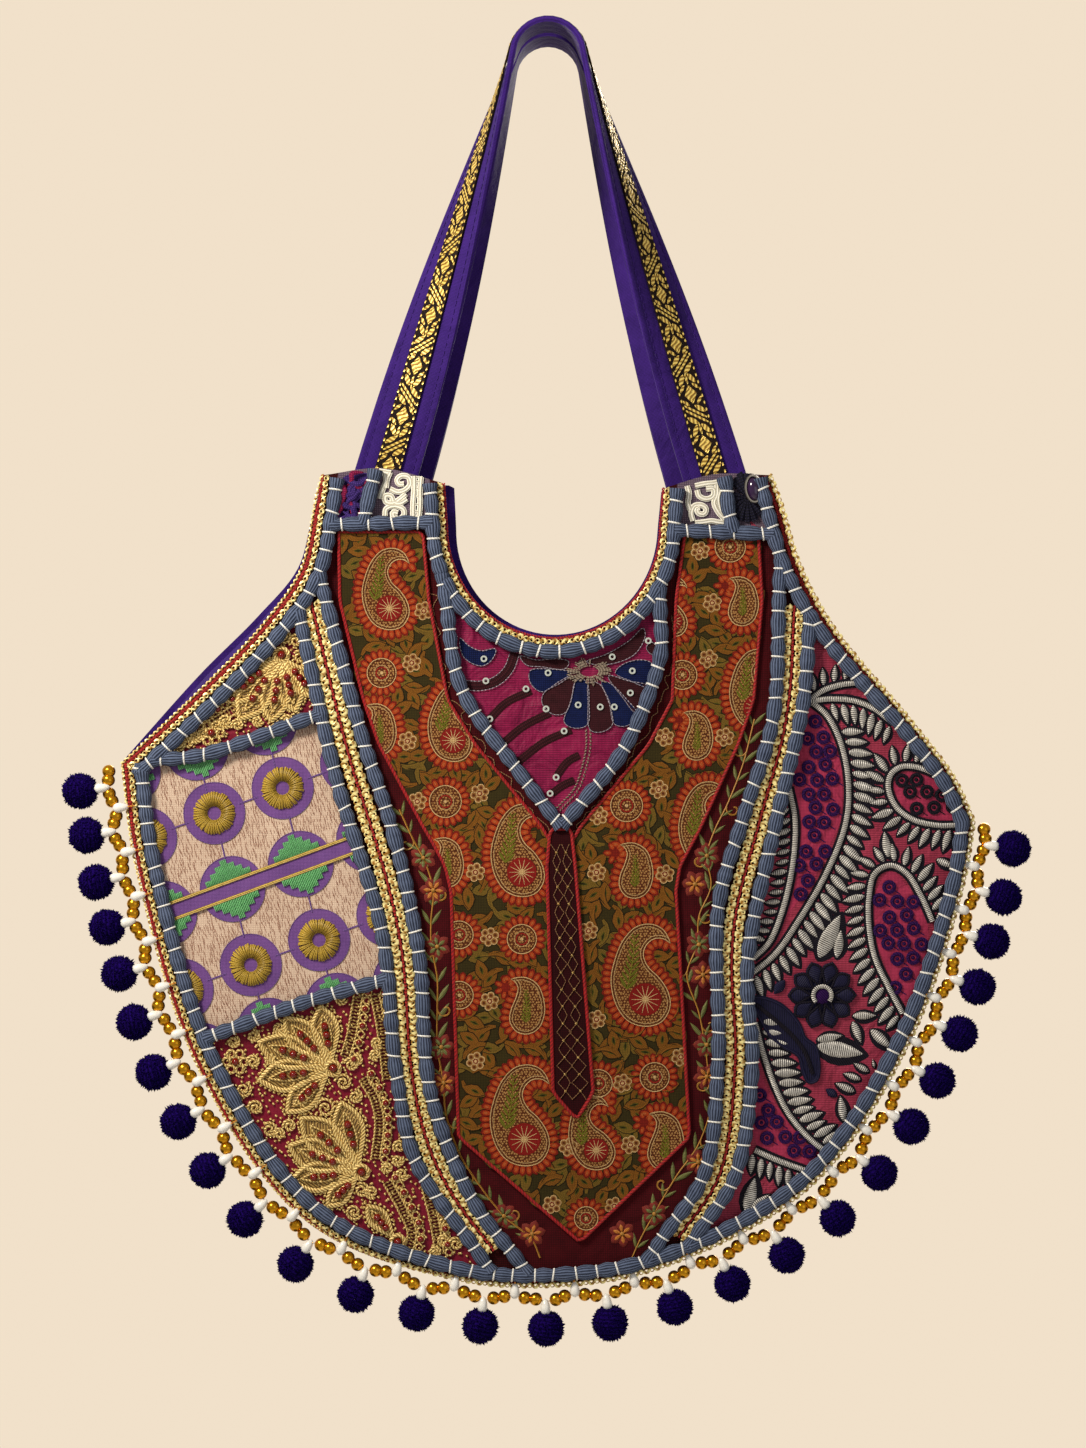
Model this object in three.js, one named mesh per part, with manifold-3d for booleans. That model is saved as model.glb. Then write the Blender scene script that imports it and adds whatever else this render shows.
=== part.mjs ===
// A patchwork shoulder bag of folk make, hanging by its two straps from a round rod.
// The pouch is a quilted front, a plain back and a folded gusset between them, open at the U-shaped neck.
// Patches cover the front. Padded cords are couched over their seams, braid trims the edge and two columns,
// and a string of beads with yarn pompoms hangs round the lower edge.
// Millimetres, +Z up, the front faces -Y. The origin is where the straps lie on the rod.
import * as THREE from "three";
import { mergeVertices } from "three/addons/utils/BufferGeometryUtils.js";
import Module from "manifold-3d";

const wasm = await Module();
wasm.setup();

// Driving sizes
const GAP = 0.3; // between pieces that lie on each other
const SEWN_GAP = 0.5; // between pieces whose curved faces follow each other
const STEP = 22; // length of a straight run on a curved edge
const PANEL_THICK = 2; // quilted front
const PATCH_THICK = 1.2;
const BACK_THICK = 1.5; // plain cotton back, and the gusset
const POUCH_DEPTH = 20; // between the front and the back at the edge
const BELLY = 16; // how far the front swells past its edge
const BELLY_CENTRE = { x: 0, z: -450 };
const BELLY_REACH = { x: 140, z: 120 };
const CELL = 48; // facets of the swollen front
const FIELD_TOP = -204; // just above the tabs
const SEAM = 1; // between neighbouring patches
const CUT_PAST = 8; // a seam is cut this far past its ends
const CORD_WIDE = 7.2; // padded cord, a little flattened
const CORD_HIGH = 5.5;
const CORD_SIDES = 6;
const STRAP_WIDE = 31.5;
const STRAP_THICK = 3;
const STRAP_SIDE = 19; // each strap's middle on the rod, in front of the origin and behind it
const RIBBON_WIDE = 12;
const RIBBON_THICK = 0.8;
const ROD_RADIUS = 16;
const STRAP_RUNS = 10; // straight runs in each leg of a strap, and over the rod
const ROD_RUNS = 6;
const POMPOMS = 28;
const POMPOM_CORE = 7.6;
const POMPOM_TIP = 9.8; // tips of the yarn locks
const STRING_RADIUS = 2.8;
const STRING_NEAR = 5.8; // string's distance outside the edge where it is tied up, and where it swings low
const STRING_FAR = 9;
const DROP_LONG = 2.7; // white drop bead, half its length
const DROP_RADIUS = 1.9;
const DROP_SIDES = 4;
const DROP_SUNK = 3; // how deep a drop sits in its pompom

// Depths of the layers, counted forwards from the inside of the front
const PATCH_AT = PANEL_THICK + GAP;
const PATCH_TOP = PATCH_AT + PATCH_THICK;
const OVERLAY_THICK = 1;
const PRINT_AT = PATCH_TOP + GAP;
const PLACKET_AT = PRINT_AT + OVERLAY_THICK + GAP;
const CORD_AT = PATCH_TOP + SEWN_GAP + CORD_HIGH / 2;
const FRONT_INSIDE = -POUCH_DEPTH / 2;
const BACK_INSIDE = POUCH_DEPTH / 2;

// The front's edge, from the left tab down round the bottom and up to the right tab.
// trim is the width of braid between the edge and the padded cord.
// back is how far the back panel stands past the front there.
const LEFT_FLARE = [
  { x: -112, z: -223, trim: 7, back: 1 },
  { x: -117.5, z: -243, trim: 9.5, back: 2 },
  { x: -124, z: -270, trim: 10, back: 3 },
  { x: -142.5, z: -297, trim: 10, back: 6 },
  { x: -171, z: -327, trim: 10, back: 7 },
  { x: -213.5, z: -367, trim: 10, back: 2 },
];
const BOTTOM = [
  { x: -213.5, z: -367, trim: 10, back: 2 },
  { x: -204.5, z: -420.5, trim: 8.5, back: 0 },
  { x: -173, z: -520.5, trim: 8, back: 0 },
  { x: -119.5, z: -595, trim: 7, back: 1 },
  { x: -47.5, z: -623.5, trim: 5, back: 2 },
  { x: 5.5, z: -627, trim: 5, back: 2 },
  { x: 57.5, z: -617.5, trim: 4.5, back: 1 },
  { x: 131, z: -577, trim: 4.5, back: 0 },
  { x: 180, z: -505, trim: 4.5, back: 0 },
  { x: 207, z: -425.5, trim: 4.5, back: 0 },
  { x: 212, z: -396, trim: 5, back: 0 },
];
const RIGHT_FLARE = [
  { x: 212, z: -396, trim: 5, back: 0 },
  { x: 202, z: -374.5, trim: 5, back: 1 },
  { x: 182, z: -348, trim: 5, back: 1 },
  { x: 141, z: -298, trim: 6, back: 1 },
  { x: 124.5, z: -266.5, trim: 7, back: 1 },
  { x: 116.5, z: -239.5, trim: 7, back: 1 },
  { x: 110.5, z: -223, trim: 5, back: 0 },
];
const RIGHT_TAB_TOP = [
  { x: 110.5, z: -223 },
  { x: 83.5, z: -222.5 },
  { x: 58, z: -229.5 },
];
const LEFT_TAB_TOP = [
  { x: -52.5, z: -227 },
  { x: -83, z: -219.5 },
  { x: -112, z: -223 },
];
// The U of the neck is half an ellipse between the tabs
const NECK = { x: 2.75, z: -248.5, half: 53.75, deep: 56.5, trim: 6.5, steps: 10 };
const NECK_BACK = { left: 5, right: 0.5 }; // how far the back shows inside the U

// Padded cords, each through a few places on the front
const CORDS = {
  column_left_outer: [
    { x: -124, z: -294 },
    { x: -105.5, z: -374.5 },
    { x: -82.5, z: -451 },
    { x: -75.5, z: -520 },
    { x: -66, z: -565 },
    { x: -36, z: -609.5 },
  ],
  column_left_inner: [
    { x: -112.5, z: -279.5 },
    { x: -93, z: -352.5 },
    { x: -76, z: -405 },
    { x: -64, z: -462 },
    { x: -58.5, z: -530 },
    { x: -37.5, z: -585 },
    { x: -18, z: -611 },
  ],
  column_right_inner: [
    { x: 115.5, z: -279 },
    { x: 112, z: -345 },
    { x: 97.5, z: -392.5 },
    { x: 84.5, z: -438 },
    { x: 84.5, z: -514.5 },
    { x: 78, z: -571 },
    { x: 56.5, z: -604.5 },
  ],
  column_right_outer: [
    { x: 130.5, z: -298 },
    { x: 127, z: -338 },
    { x: 113, z: -397.5 },
    { x: 99, z: -466.5 },
    { x: 101.5, z: -518.5 },
    { x: 93, z: -573 },
    { x: 73.5, z: -603 },
  ],
  yoke_left: [
    { x: -51.5, z: -282 },
    { x: -43.5, z: -329 },
    { x: -17, z: -368 },
    { x: 6.5, z: -398.5 },
  ],
  yoke_right: [
    { x: 6.5, z: -398.5 },
    { x: 38, z: -359.5 },
    { x: 56, z: -313.5 },
    { x: 56, z: -293 },
  ],
  divider_upper: [
    { x: -196.5, z: -365.5 },
    { x: -172.5, z: -363 },
    { x: -116, z: -343.5 },
  ],
  divider_lower: [
    { x: -166.5, z: -502.5 },
    { x: -118.5, z: -485 },
    { x: -83, z: -475 },
  ],
  tab_left: [
    { x: -106, z: -248 },
    { x: -60, z: -247 },
  ],
  tab_right: [
    { x: 67, z: -251 },
    { x: 106, z: -252.5 },
  ],
};

// The printed panel, a row for each level: its outer and inner edges on the left and right
const PRINT = [
  { z: -257, outLeft: -104.5, inLeft: -62.5, inRight: 68.5, outRight: 105 },
  { z: -285.5, outLeft: -104, inLeft: -59.5, inRight: 64, outRight: 107 },
  { z: -335.5, outLeft: -92, inLeft: -50, inRight: 62, outRight: 102.5 },
  { z: -358, outLeft: -84, inLeft: -36, inRight: 50, outRight: 94.5 },
  { z: -398.5, outLeft: -62, inLeft: -3, inRight: 16, outRight: 76 },
  { z: -406, outLeft: -57.5, inLeft: 1, inRight: 12, outRight: 72 },
  { z: -418, outLeft: -51, outRight: 65.5 },
  { z: -430.5, outLeft: -48, outRight: 63.5 },
  { z: -553, outLeft: -44.5, outRight: 70.5 },
  { z: -606, outLeft: 16, outRight: 16 },
];
const PLACKET = [
  { z: -404, left: -1, right: 13 },
  { z: -418, left: -0.5, right: 13.5 },
  { z: -530.5, left: 2.5, right: 22.5 },
  { z: -544, left: 14.2, right: 14.2 },
];

// Folds of the gusset, from the front edge to the back: out is how far each stands off a straight wall
const GUSSET_FOLDS = [
  { at: 0, out: 0 },
  { at: 0.3, out: 2 },
  { at: 0.6, out: 0.4 },
  { at: 1, out: 0 },
];
const GUSSET_INSET = 3;

// Where each strap leaves the pouch, and how far it runs on inside
const FRONT_STRAP = { left: -79.5, right: 81.5, z: -217, tuck: 24, side: -1 };
const BACK_STRAP = { left: -72.5, right: 73, z: -217, tuck: 24, side: 1 };

// A gathered flower and a set stone on the right tab
const ROSETTE = { x: 95.5, z: -236.5, half: 7, tall: 10, petals: 8, thick: 2.4 };
const STONE = { x: 96, z: -231, half: 3.4, tall: 6, thick: 3.6 };

const colour = (hex, roughness = 0.9, metalness = 0) =>
  new THREE.MeshStandardMaterial({ color: hex, roughness, metalness });
const MATERIALS = {
  purple: colour(0x3d1f78),
  maroon: colour(0x3a0d1c, 0.95),
  olive: colour(0x6b5a2a),
  magenta: colour(0x8c1a4f, 0.7),
  lilac: colour(0xc9a9a5),
  goldwork: colour(0xb08a4e, 0.6),
  rose: colour(0xa03a4e, 0.75),
  lace: colour(0xcfc7b6),
  denim: colour(0x465876, 0.95),
  braid: colour(0xc79b45, 0.45, 0.6),
  beads: colour(0xc98612, 0.3, 0.7),
  yarn: colour(0x1c0f52, 1),
  stone: colour(0x3a1440, 0.2),
};

// Height of the inside of the front over the flat plan
function inside(x, z) {
  const across = (x - BELLY_CENTRE.x) / BELLY_REACH.x;
  const up = (z - BELLY_CENTRE.z) / BELLY_REACH.z;
  return FRONT_INSIDE - BELLY * Math.exp(-across * across - up * up);
}

const onFront = (p, depth) => new THREE.Vector3(p.x, inside(p.x, p.z) - depth, p.z);

// A smooth line through the rows, in runs of about one step, with the rows' other columns eased between them
function trace(rows, step = STEP) {
  const places = rows.map((row) => new THREE.Vector3(row.x, row.z, 0));
  const curve = new THREE.CatmullRomCurve3(places, false, "centripetal");
  const spans = rows.length - 1;
  const points = [];
  for (let i = 0; i < spans; i++) {
    const runs = Math.max(1, Math.round(places[i].distanceTo(places[i + 1]) / step));
    const last = i === spans - 1 ? runs : runs - 1;
    for (let k = 0; k <= last; k++) {
      const p = curve.getPoint((i + k / runs) / spans);
      const point = { x: p.x, z: p.y };
      for (const column of ["trim", "back"])
        point[column] = THREE.MathUtils.lerp(rows[i][column] ?? 0, rows[i + 1][column] ?? 0, k / runs);
      points.push(point);
    }
  }
  return points;
}

// The way into the panel at each point of a line that keeps the panel on its left
function inward(line, i) {
  const before = line[Math.max(0, i - 1)];
  const after = line[Math.min(line.length - 1, i + 1)];
  const run = new THREE.Vector2(after.x - before.x, after.z - before.z).normalize();
  return { x: -run.y, z: run.x };
}

function shifted(line, distance) {
  return line.map((p, i) => {
    const way = inward(line, i);
    const far = distance(p, i);
    return { ...p, x: p.x + way.x * far, z: p.z + way.z * far };
  });
}

// A solid from closed loops of points, each joined to the next, with flat ends
function loft(loops) {
  const sides = loops[0].length;
  const corners = [];
  const add = (...points) => points.forEach((p) => corners.push(p.x, p.y, p.z));
  for (let i = 0; i + 1 < loops.length; i++)
    for (let k = 0; k < sides; k++) {
      const next = (k + 1) % sides;
      add(loops[i][k], loops[i + 1][k], loops[i + 1][next]);
      add(loops[i][k], loops[i + 1][next], loops[i][next]);
    }
  for (let k = 1; k + 1 < sides; k++) {
    add(loops[0][0], loops[0][k], loops[0][k + 1]);
    const end = loops.at(-1);
    add(end[0], end[k + 1], end[k]);
  }
  const geometry = new THREE.BufferGeometry();
  geometry.setAttribute("position", new THREE.Float32BufferAttribute(corners, 3));
  return solid(geometry);
}

// A closed geometry as a solid that can be joined and cut
function solid(geometry) {
  geometry.deleteAttribute("normal");
  geometry.deleteAttribute("uv");
  const merged = mergeVertices(geometry, 1e-4);
  const triVerts = new Uint32Array(merged.index.array);
  const made = (order) =>
    new wasm.Manifold(
      new wasm.Mesh({ numProp: 3, vertProperties: merged.attributes.position.array, triVerts: order }),
    );
  const first = made(triVerts);
  return first.volume() > 0 ? first : made(triVerts.slice().reverse());
}

// A wall square to the plan over an outline, deep enough to cross every layer
function prism(outline) {
  const shape = new THREE.Shape(outline.map((p) => new THREE.Vector2(p.x, p.z)));
  const depth = 2 * POUCH_DEPTH + 4 * BELLY;
  const geometry = new THREE.ExtrudeGeometry(shape, { depth, bevelEnabled: false, steps: 1 });
  geometry.rotateX(Math.PI / 2).translate(0, depth / 2, 0);
  return solid(geometry);
}

// Everything behind the swollen front at one depth
function behind(depth) {
  const wide = 10 * CELL;
  const tall = 9 * CELL;
  const geometry = new THREE.BoxGeometry(wide, POUCH_DEPTH, tall, wide / CELL, 1, tall / CELL);
  geometry.translate(0, 0, FIELD_TOP - tall / 2);
  const place = geometry.attributes.position;
  for (let i = 0; i < place.count; i++)
    if (place.getY(i) < 0) place.setY(i, inside(place.getX(i), place.getZ(i)) - depth);
  return solid(geometry);
}

const layer = (near, far) => behind(far).subtract(behind(near));

// Cuts a cloth along lines drawn on it, past both ends of each
function cutAlong(cloth, lines, past = CUT_PAST) {
  return lines.reduce((left, line) => {
    const first = inward(line, 0);
    const last = inward(line, line.length - 1);
    const long = [
      { x: line[0].x - first.z * past, z: line[0].z + first.x * past },
      ...line,
      { x: line.at(-1).x + last.z * past, z: line.at(-1).z - last.x * past },
    ];
    const strip = [...shifted(long, () => SEAM / 2), ...shifted(long, () => -SEAM / 2).reverse()];
    return left.subtract(prism(strip.reverse()));
  }, cloth);
}

// The piece of a cut cloth that covers a place
function pieceAt(cloth, x, z) {
  const probe = prism([
    { x: x - 1, z: z - 1 },
    { x: x + 1, z: z - 1 },
    { x: x + 1, z: z + 1 },
    { x: x - 1, z: z + 1 },
  ]);
  return cloth.decompose().find((piece) => piece.intersect(probe).volume() > 0);
}

// A padded cord along a line on the front, grown by a margin where its neighbours are cut clear of it
function cord(line, margin = 0) {
  return loft(
    line.map((p, i) => {
      const side = inward(line, i);
      const middle = onFront(p, CORD_AT);
      return Array.from({ length: CORD_SIDES }, (_, k) => {
        const turn = ((k + 0.5) / CORD_SIDES) * 2 * Math.PI;
        const across = Math.cos(turn) * (CORD_WIDE / 2 + margin);
        const up = Math.sin(turn) * (CORD_HIGH / 2 + margin);
        return new THREE.Vector3(middle.x + side.x * across, middle.y + up, middle.z + side.z * across);
      });
    }),
  );
}

const bag = new THREE.Group();

function put(name, body, material) {
  const mesh = body.getMesh();
  const geometry = new THREE.BufferGeometry();
  const corners = new Float32Array(mesh.numVert * 3);
  for (let i = 0; i < mesh.numVert; i++)
    corners.set(mesh.vertProperties.subarray(i * mesh.numProp, i * mesh.numProp + 3), i * 3);
  geometry.setAttribute("position", new THREE.BufferAttribute(corners, 3));
  geometry.setIndex(new THREE.BufferAttribute(mesh.triVerts, 1));
  geometry.computeVertexNormals();
  const piece = new THREE.Mesh(geometry, material);
  piece.name = name;
  bag.add(piece);
}

// Outlines of the pouch
const lowerEdge = trace(BOTTOM);
const edge = [...trace(LEFT_FLARE).slice(0, -1), ...lowerEdge.slice(0, -1), ...trace(RIGHT_FLARE)];
const neck = Array.from({ length: NECK.steps + 1 }, (_, i) => {
  const share = i / NECK.steps;
  return {
    x: NECK.x + NECK.half * Math.cos(-Math.PI * share),
    z: NECK.z + NECK.deep * Math.sin(-Math.PI * share),
    back: THREE.MathUtils.lerp(NECK_BACK.right, NECK_BACK.left, share),
  };
});
const neckLine = [RIGHT_TAB_TOP.at(-1), ...neck, LEFT_TAB_TOP[0]];
const rightTab = trace(RIGHT_TAB_TOP).slice(1, -1);
const leftTab = trace(LEFT_TAB_TOP).slice(1, -1);
const outline = [...edge, ...rightTab, ...neckLine, ...leftTab];
const standsOut = (p) => -(p.back ?? 0);
const backOutline = [
  ...shifted(edge, standsOut),
  ...rightTab,
  ...shifted(neckLine, standsOut),
  ...leftTab,
];

// The pouch: quilted front, plain back, and the folded gusset that joins them all round but at the neck
put("front_panel", prism(outline).intersect(layer(0, PANEL_THICK)), MATERIALS.purple);
const backShape = new THREE.Shape(backOutline.map((p) => new THREE.Vector2(p.x, p.z)));
const backGeometry = new THREE.ExtrudeGeometry(backShape, { depth: BACK_THICK, bevelEnabled: false });
backGeometry.rotateX(Math.PI / 2).translate(0, BACK_INSIDE + BACK_THICK, 0);
put("back_panel", solid(backGeometry), MATERIALS.purple);

const gussetWall = (row, deeper) =>
  shifted(edge, (p) => GUSSET_INSET + deeper - row.out - row.at * p.back).map((p) => {
    const front = inside(p.x, p.z) + SEWN_GAP;
    const y = THREE.MathUtils.lerp(front, BACK_INSIDE - GAP, row.at);
    return new THREE.Vector3(p.x, y, p.z);
  });
const gussetOuter = GUSSET_FOLDS.map((row) => gussetWall(row, 0));
const gussetInner = GUSSET_FOLDS.map((row) => gussetWall(row, BACK_THICK)).reverse();
const gussetRows = [...gussetOuter, ...gussetInner];
put("gusset", loft(edge.map((_, i) => gussetRows.map((row) => row[i]))), MATERIALS.purple);

// Seams of the patchwork
const rimCord = shifted(edge, (p) => p.trim);
const neckCord = shifted(neckLine, () => NECK.trim);
const lines = Object.fromEntries(Object.entries(CORDS).map(([name, rows]) => [name, trace(rows)]));
const yokeLine = [...lines.yoke_left, ...lines.yoke_right.slice(1)];
const columnNames = ["column_left_outer", "column_left_inner", "column_right_inner", "column_right_outer"];

// The patches are one layer of cloth cut along those seams
const hemmed = cutAlong(prism(outline).intersect(layer(PATCH_AT, PATCH_TOP)), [rimCord, neckCord]);
put("rim_trim", pieceAt(hemmed, -209, -372), MATERIALS.braid);
put("neck_trim", pieceAt(hemmed, NECK.x, NECK.z - NECK.deep - 3), MATERIALS.braid);
const field = pieceAt(hemmed, 0, -500);
const upright = cutAlong(field, columnNames.map((name) => lines[name]), 2 * CUT_PAST);
const columns = cutAlong(upright, [lines.tab_left, lines.tab_right]);
put("tab_left", pieceAt(columns, -83, -236), MATERIALS.lace);
put("tab_right", pieceAt(columns, 85, -238), MATERIALS.lace);
put("column_trim_left", pieceAt(columns, -74, -455), MATERIALS.braid);
put("column_trim_right", pieceAt(columns, 92, -480), MATERIALS.braid);
put("patch_right", pieceAt(columns, 150, -450), MATERIALS.rose);
const centre = cutAlong(pieceAt(columns, 0, -500), [yokeLine], 2 * CUT_PAST);
put("yoke", pieceAt(centre, 3, -340), MATERIALS.magenta);
put("centre_ground", pieceAt(centre, 0, -500), MATERIALS.maroon);
const left = cutAlong(pieceAt(columns, -140, -430), [lines.divider_upper, lines.divider_lower]);
put("patch_left_upper", pieceAt(left, -140, -330), MATERIALS.goldwork);
put("patch_left_middle", pieceAt(left, -140, -430), MATERIALS.lilac);
put("patch_left_lower", pieceAt(left, -110, -540), MATERIALS.goldwork);

// The printed panel on the dark ground, with the neck slit's placket over it
const legs = PRINT.filter((row) => row.inLeft !== undefined);
const printOutline = [
  ...PRINT.map((row) => ({ x: row.outLeft, z: row.z })),
  ...PRINT.slice(0, -1).reverse().map((row) => ({ x: row.outRight, z: row.z })),
  ...legs.map((row) => ({ x: row.inRight, z: row.z })),
  ...legs.slice().reverse().map((row) => ({ x: row.inLeft, z: row.z })),
];
put("print_panel", prism(printOutline).intersect(layer(PRINT_AT, PRINT_AT + OVERLAY_THICK)), MATERIALS.olive);
const placketOutline = [
  ...PLACKET.map((row) => ({ x: row.left, z: row.z })),
  ...PLACKET.slice(0, -1).reverse().map((row) => ({ x: row.right, z: row.z })),
];
const placketLayer = layer(PLACKET_AT, PLACKET_AT + OVERLAY_THICK);
put("placket", prism(placketOutline).intersect(placketLayer), MATERIALS.maroon);

// Padded cords over the seams. Each one stops clear of those that were laid before it.
const laid = [];
function lay(name, line, ...joined) {
  const whole = [cord(line), ...joined.map((other) => cord(other))].reduce((a, b) => a.add(b));
  const clear = laid.reduce((left, before) => left.subtract(before), whole);
  const longest = clear.decompose().sort((a, b) => b.volume() - a.volume())[0];
  put("cord_" + name, longest, MATERIALS.denim);
  laid.push(...[line, ...joined].map((other) => cord(other, GAP)));
}
lay("rim", rimCord);
lay("neck", neckCord, lines.tab_left, lines.tab_right);
columnNames.forEach((name) => lay(name, lines[name]));
lay("yoke", yokeLine);
lay("divider_upper", lines.divider_upper);
lay("divider_lower", lines.divider_lower);

// The flower and the stone on the right tab
const petalled = Array.from({ length: 4 * ROSETTE.petals }, (_, i) => {
  const turn = (i / (4 * ROSETTE.petals)) * 2 * Math.PI;
  const reach = 0.92 + 0.08 * Math.cos(ROSETTE.petals * turn);
  const x = ROSETTE.x + ROSETTE.half * reach * Math.cos(turn);
  return { x, z: ROSETTE.z + ROSETTE.tall * reach * Math.sin(turn) };
});
const rosetteTop = PRINT_AT + ROSETTE.thick;
put("rosette", prism(petalled).intersect(layer(PRINT_AT, rosetteTop)), MATERIALS.yarn);
const stone = new THREE.SphereGeometry(1, 12, 6);
stone.scale(STONE.half, STONE.thick / 2, STONE.tall);
const stoneAt = onFront(STONE, rosetteTop + SEWN_GAP + STONE.thick / 2);
put("stone", solid(stone.translate(stoneAt.x, stoneAt.y, stoneAt.z)), MATERIALS.stone);

// A strap rises from one tab, turns edge-on, crosses the rod and comes down to the other tab
function strapPath(strap) {
  const reach = ROD_RADIUS + STRAP_THICK / 2;
  const rod = new THREE.Vector2(0, -ROD_RADIUS);
  const atTab = strap.side * (BACK_INSIDE - GAP - STRAP_THICK / 2);
  const atRod = strap.side * STRAP_SIDE;
  const legOf = (x, hand) => {
    const tab = new THREE.Vector2(x, strap.z);
    const away = rod.clone().sub(tab);
    const lean = Math.asin(reach / away.length());
    const way = away.clone().normalize().rotateAround(new THREE.Vector2(), -hand * lean);
    const touch = tab.clone().addScaledVector(way, Math.sqrt(away.lengthSq() - reach * reach));
    return { tab, way, touch };
  };
  const legPoints = ({ tab, way, touch }) => {
    const runs = STRAP_RUNS;
    const low = tab.clone().addScaledVector(way, -strap.tuck);
    const points = [{ place: low, way, twist: 0, y: atTab }];
    for (let i = 0; i <= runs; i++) {
      const place = tab.clone().lerp(touch, i / runs);
      const twist = (i / runs) * (Math.PI / 2);
      points.push({ place, way, twist, y: THREE.MathUtils.lerp(atTab, atRod, i / runs) });
    }
    return points;
  };
  const left = legOf(strap.left, -1);
  const right = legOf(strap.right, 1);
  const start = left.touch.clone().sub(rod).angle();
  const end = right.touch.clone().sub(rod).angle();
  const sweep = start - (end > Math.PI ? end - 2 * Math.PI : end);
  const over = Array.from({ length: ROD_RUNS - 1 }, (_, i) => {
    const turn = start - (sweep * (i + 1)) / ROD_RUNS;
    const place = new THREE.Vector2(Math.cos(turn), Math.sin(turn)).multiplyScalar(reach).add(rod);
    const way = new THREE.Vector2(Math.sin(turn), -Math.cos(turn));
    return { place, way, twist: Math.PI / 2, y: atRod };
  });
  const down = legPoints(right).reverse().map((p) => ({ ...p, way: p.way.clone().negate() }));
  return [...legPoints(left), ...over, ...down].map((p) => ({ ...p, side: strap.side }));
}

// Section of a strap or ribbon: its stops across, between two heights over the strap's middle
function bandLoop(p, stops, low, high) {
  const plan = new THREE.Vector3(p.way.y, 0, -p.way.x).multiplyScalar(Math.cos(p.twist));
  const across = plan.add(new THREE.Vector3(0, p.side * Math.sin(p.twist), 0));
  const along = new THREE.Vector3(p.way.x, 0, p.way.y);
  const out = across.clone().cross(along).multiplyScalar(-p.side);
  const middle = new THREE.Vector3(p.place.x, p.y, p.place.y);
  const corner = (stop, height) =>
    middle.clone().addScaledVector(across, stop).addScaledVector(out, height);
  const under = stops.map((stop) => corner(stop, low));
  const over = stops.map((stop) => corner(stop, high));
  return [...under, ...over.reverse()];
}

// The strap has a corner row under each of the ribbon's, so the two stay parallel as they twist
const half = STRAP_THICK / 2;
const ribbonStops = [-RIBBON_WIDE / 2, 0, RIBBON_WIDE / 2];
const strapStops = [-STRAP_WIDE / 2, ...ribbonStops, STRAP_WIDE / 2];
const frontPath = strapPath(FRONT_STRAP);
const backPath = strapPath(BACK_STRAP);
put("front_strap", loft(frontPath.map((p) => bandLoop(p, strapStops, -half, half))), MATERIALS.purple);
put("back_strap", loft(backPath.map((p) => bandLoop(p, strapStops, -half, half))), MATERIALS.purple);
const ribbonLow = half + GAP;
const ribbonPath = frontPath.slice(1, -1);
const ribbonLoops = ribbonPath.map((p) => bandLoop(p, ribbonStops, ribbonLow, ribbonLow + RIBBON_THICK));
put("strap_ribbon", loft(ribbonLoops.map((loop) => loop.reverse())), MATERIALS.braid);

// Places along the lower edge at a share of its length, with the way out from the pouch
const lengths = lowerEdge.reduce((sum, p, i) => {
  const before = lowerEdge[i - 1] ?? p;
  return [...sum, (sum.at(-1) ?? 0) + Math.hypot(p.x - before.x, p.z - before.z)];
}, []);
const CROWDING = 0.15; // the pompoms are closer together at the sides than at the bottom
function below(share, distance) {
  const eased = share - (CROWDING / (2 * Math.PI)) * Math.sin(2 * Math.PI * share);
  const along = eased * lengths.at(-1);
  const i = Math.max(1, lengths.findIndex((sum) => sum >= along));
  const part = (along - lengths[i - 1]) / (lengths[i] - lengths[i - 1]);
  const [a, b] = [lowerEdge[i - 1], lowerEdge[i]];
  const [wayA, wayB] = [inward(lowerEdge, i - 1), inward(lowerEdge, i)];
  const way = {
    x: -THREE.MathUtils.lerp(wayA.x, wayB.x, part),
    z: -THREE.MathUtils.lerp(wayA.z, wayB.z, part),
  };
  const foot = { x: THREE.MathUtils.lerp(a.x, b.x, part), z: THREE.MathUtils.lerp(a.z, b.z, part) };
  const out = { x: foot.x + way.x * distance, z: foot.z + way.z * distance };
  return { place: new THREE.Vector3(out.x, inside(foot.x, foot.z) - PATCH_AT, out.z), way };
}

// A drop bead pointing away from the pouch
const DROP_PROFILE = [
  { along: -1, out: 0 },
  { along: -0.5, out: 0.8 },
  { along: 0.3, out: 1 },
  { along: 1, out: 0 },
];
function drop(at, distance) {
  const profile = DROP_PROFILE.map((row) => new THREE.Vector2(row.out * DROP_RADIUS, row.along * DROP_LONG));
  const geometry = new THREE.LatheGeometry(profile, DROP_SIDES);
  const { place, way } = below(at, distance);
  const turn = new THREE.Quaternion().setFromUnitVectors(
    new THREE.Vector3(0, 1, 0),
    new THREE.Vector3(way.x, 0, way.z).normalize(),
  );
  return solid(geometry.applyQuaternion(turn).translate(place.x, place.y, place.z));
}

// The string zigzags between where it is tied to the edge and where a pompom hangs
const STRING_SIDES = 8;
const stringPoints = Array.from({ length: 2 * POMPOMS + 1 }, (_, i) =>
  below(i / (2 * POMPOMS), i % 2 ? STRING_FAR : STRING_NEAR),
);
const stringLoops = stringPoints.map(({ place, way }) =>
  Array.from({ length: STRING_SIDES }, (_, k) => {
    const turn = (k / STRING_SIDES) * 2 * Math.PI;
    const out = Math.cos(turn) * STRING_RADIUS;
    return place.clone().add(new THREE.Vector3(way.x * out, Math.sin(turn) * STRING_RADIUS, way.z * out));
  }),
);
const TIE = DROP_LONG + SEWN_GAP; // middle of a tying drop, its tip clear of the edge
const ties = Array.from({ length: POMPOMS - 1 }, (_, i) => drop((i + 1) / POMPOMS, TIE));
put("bead_string", ties.reduce((string, tie) => string.add(tie), loft(stringLoops)), MATERIALS.beads);

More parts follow.
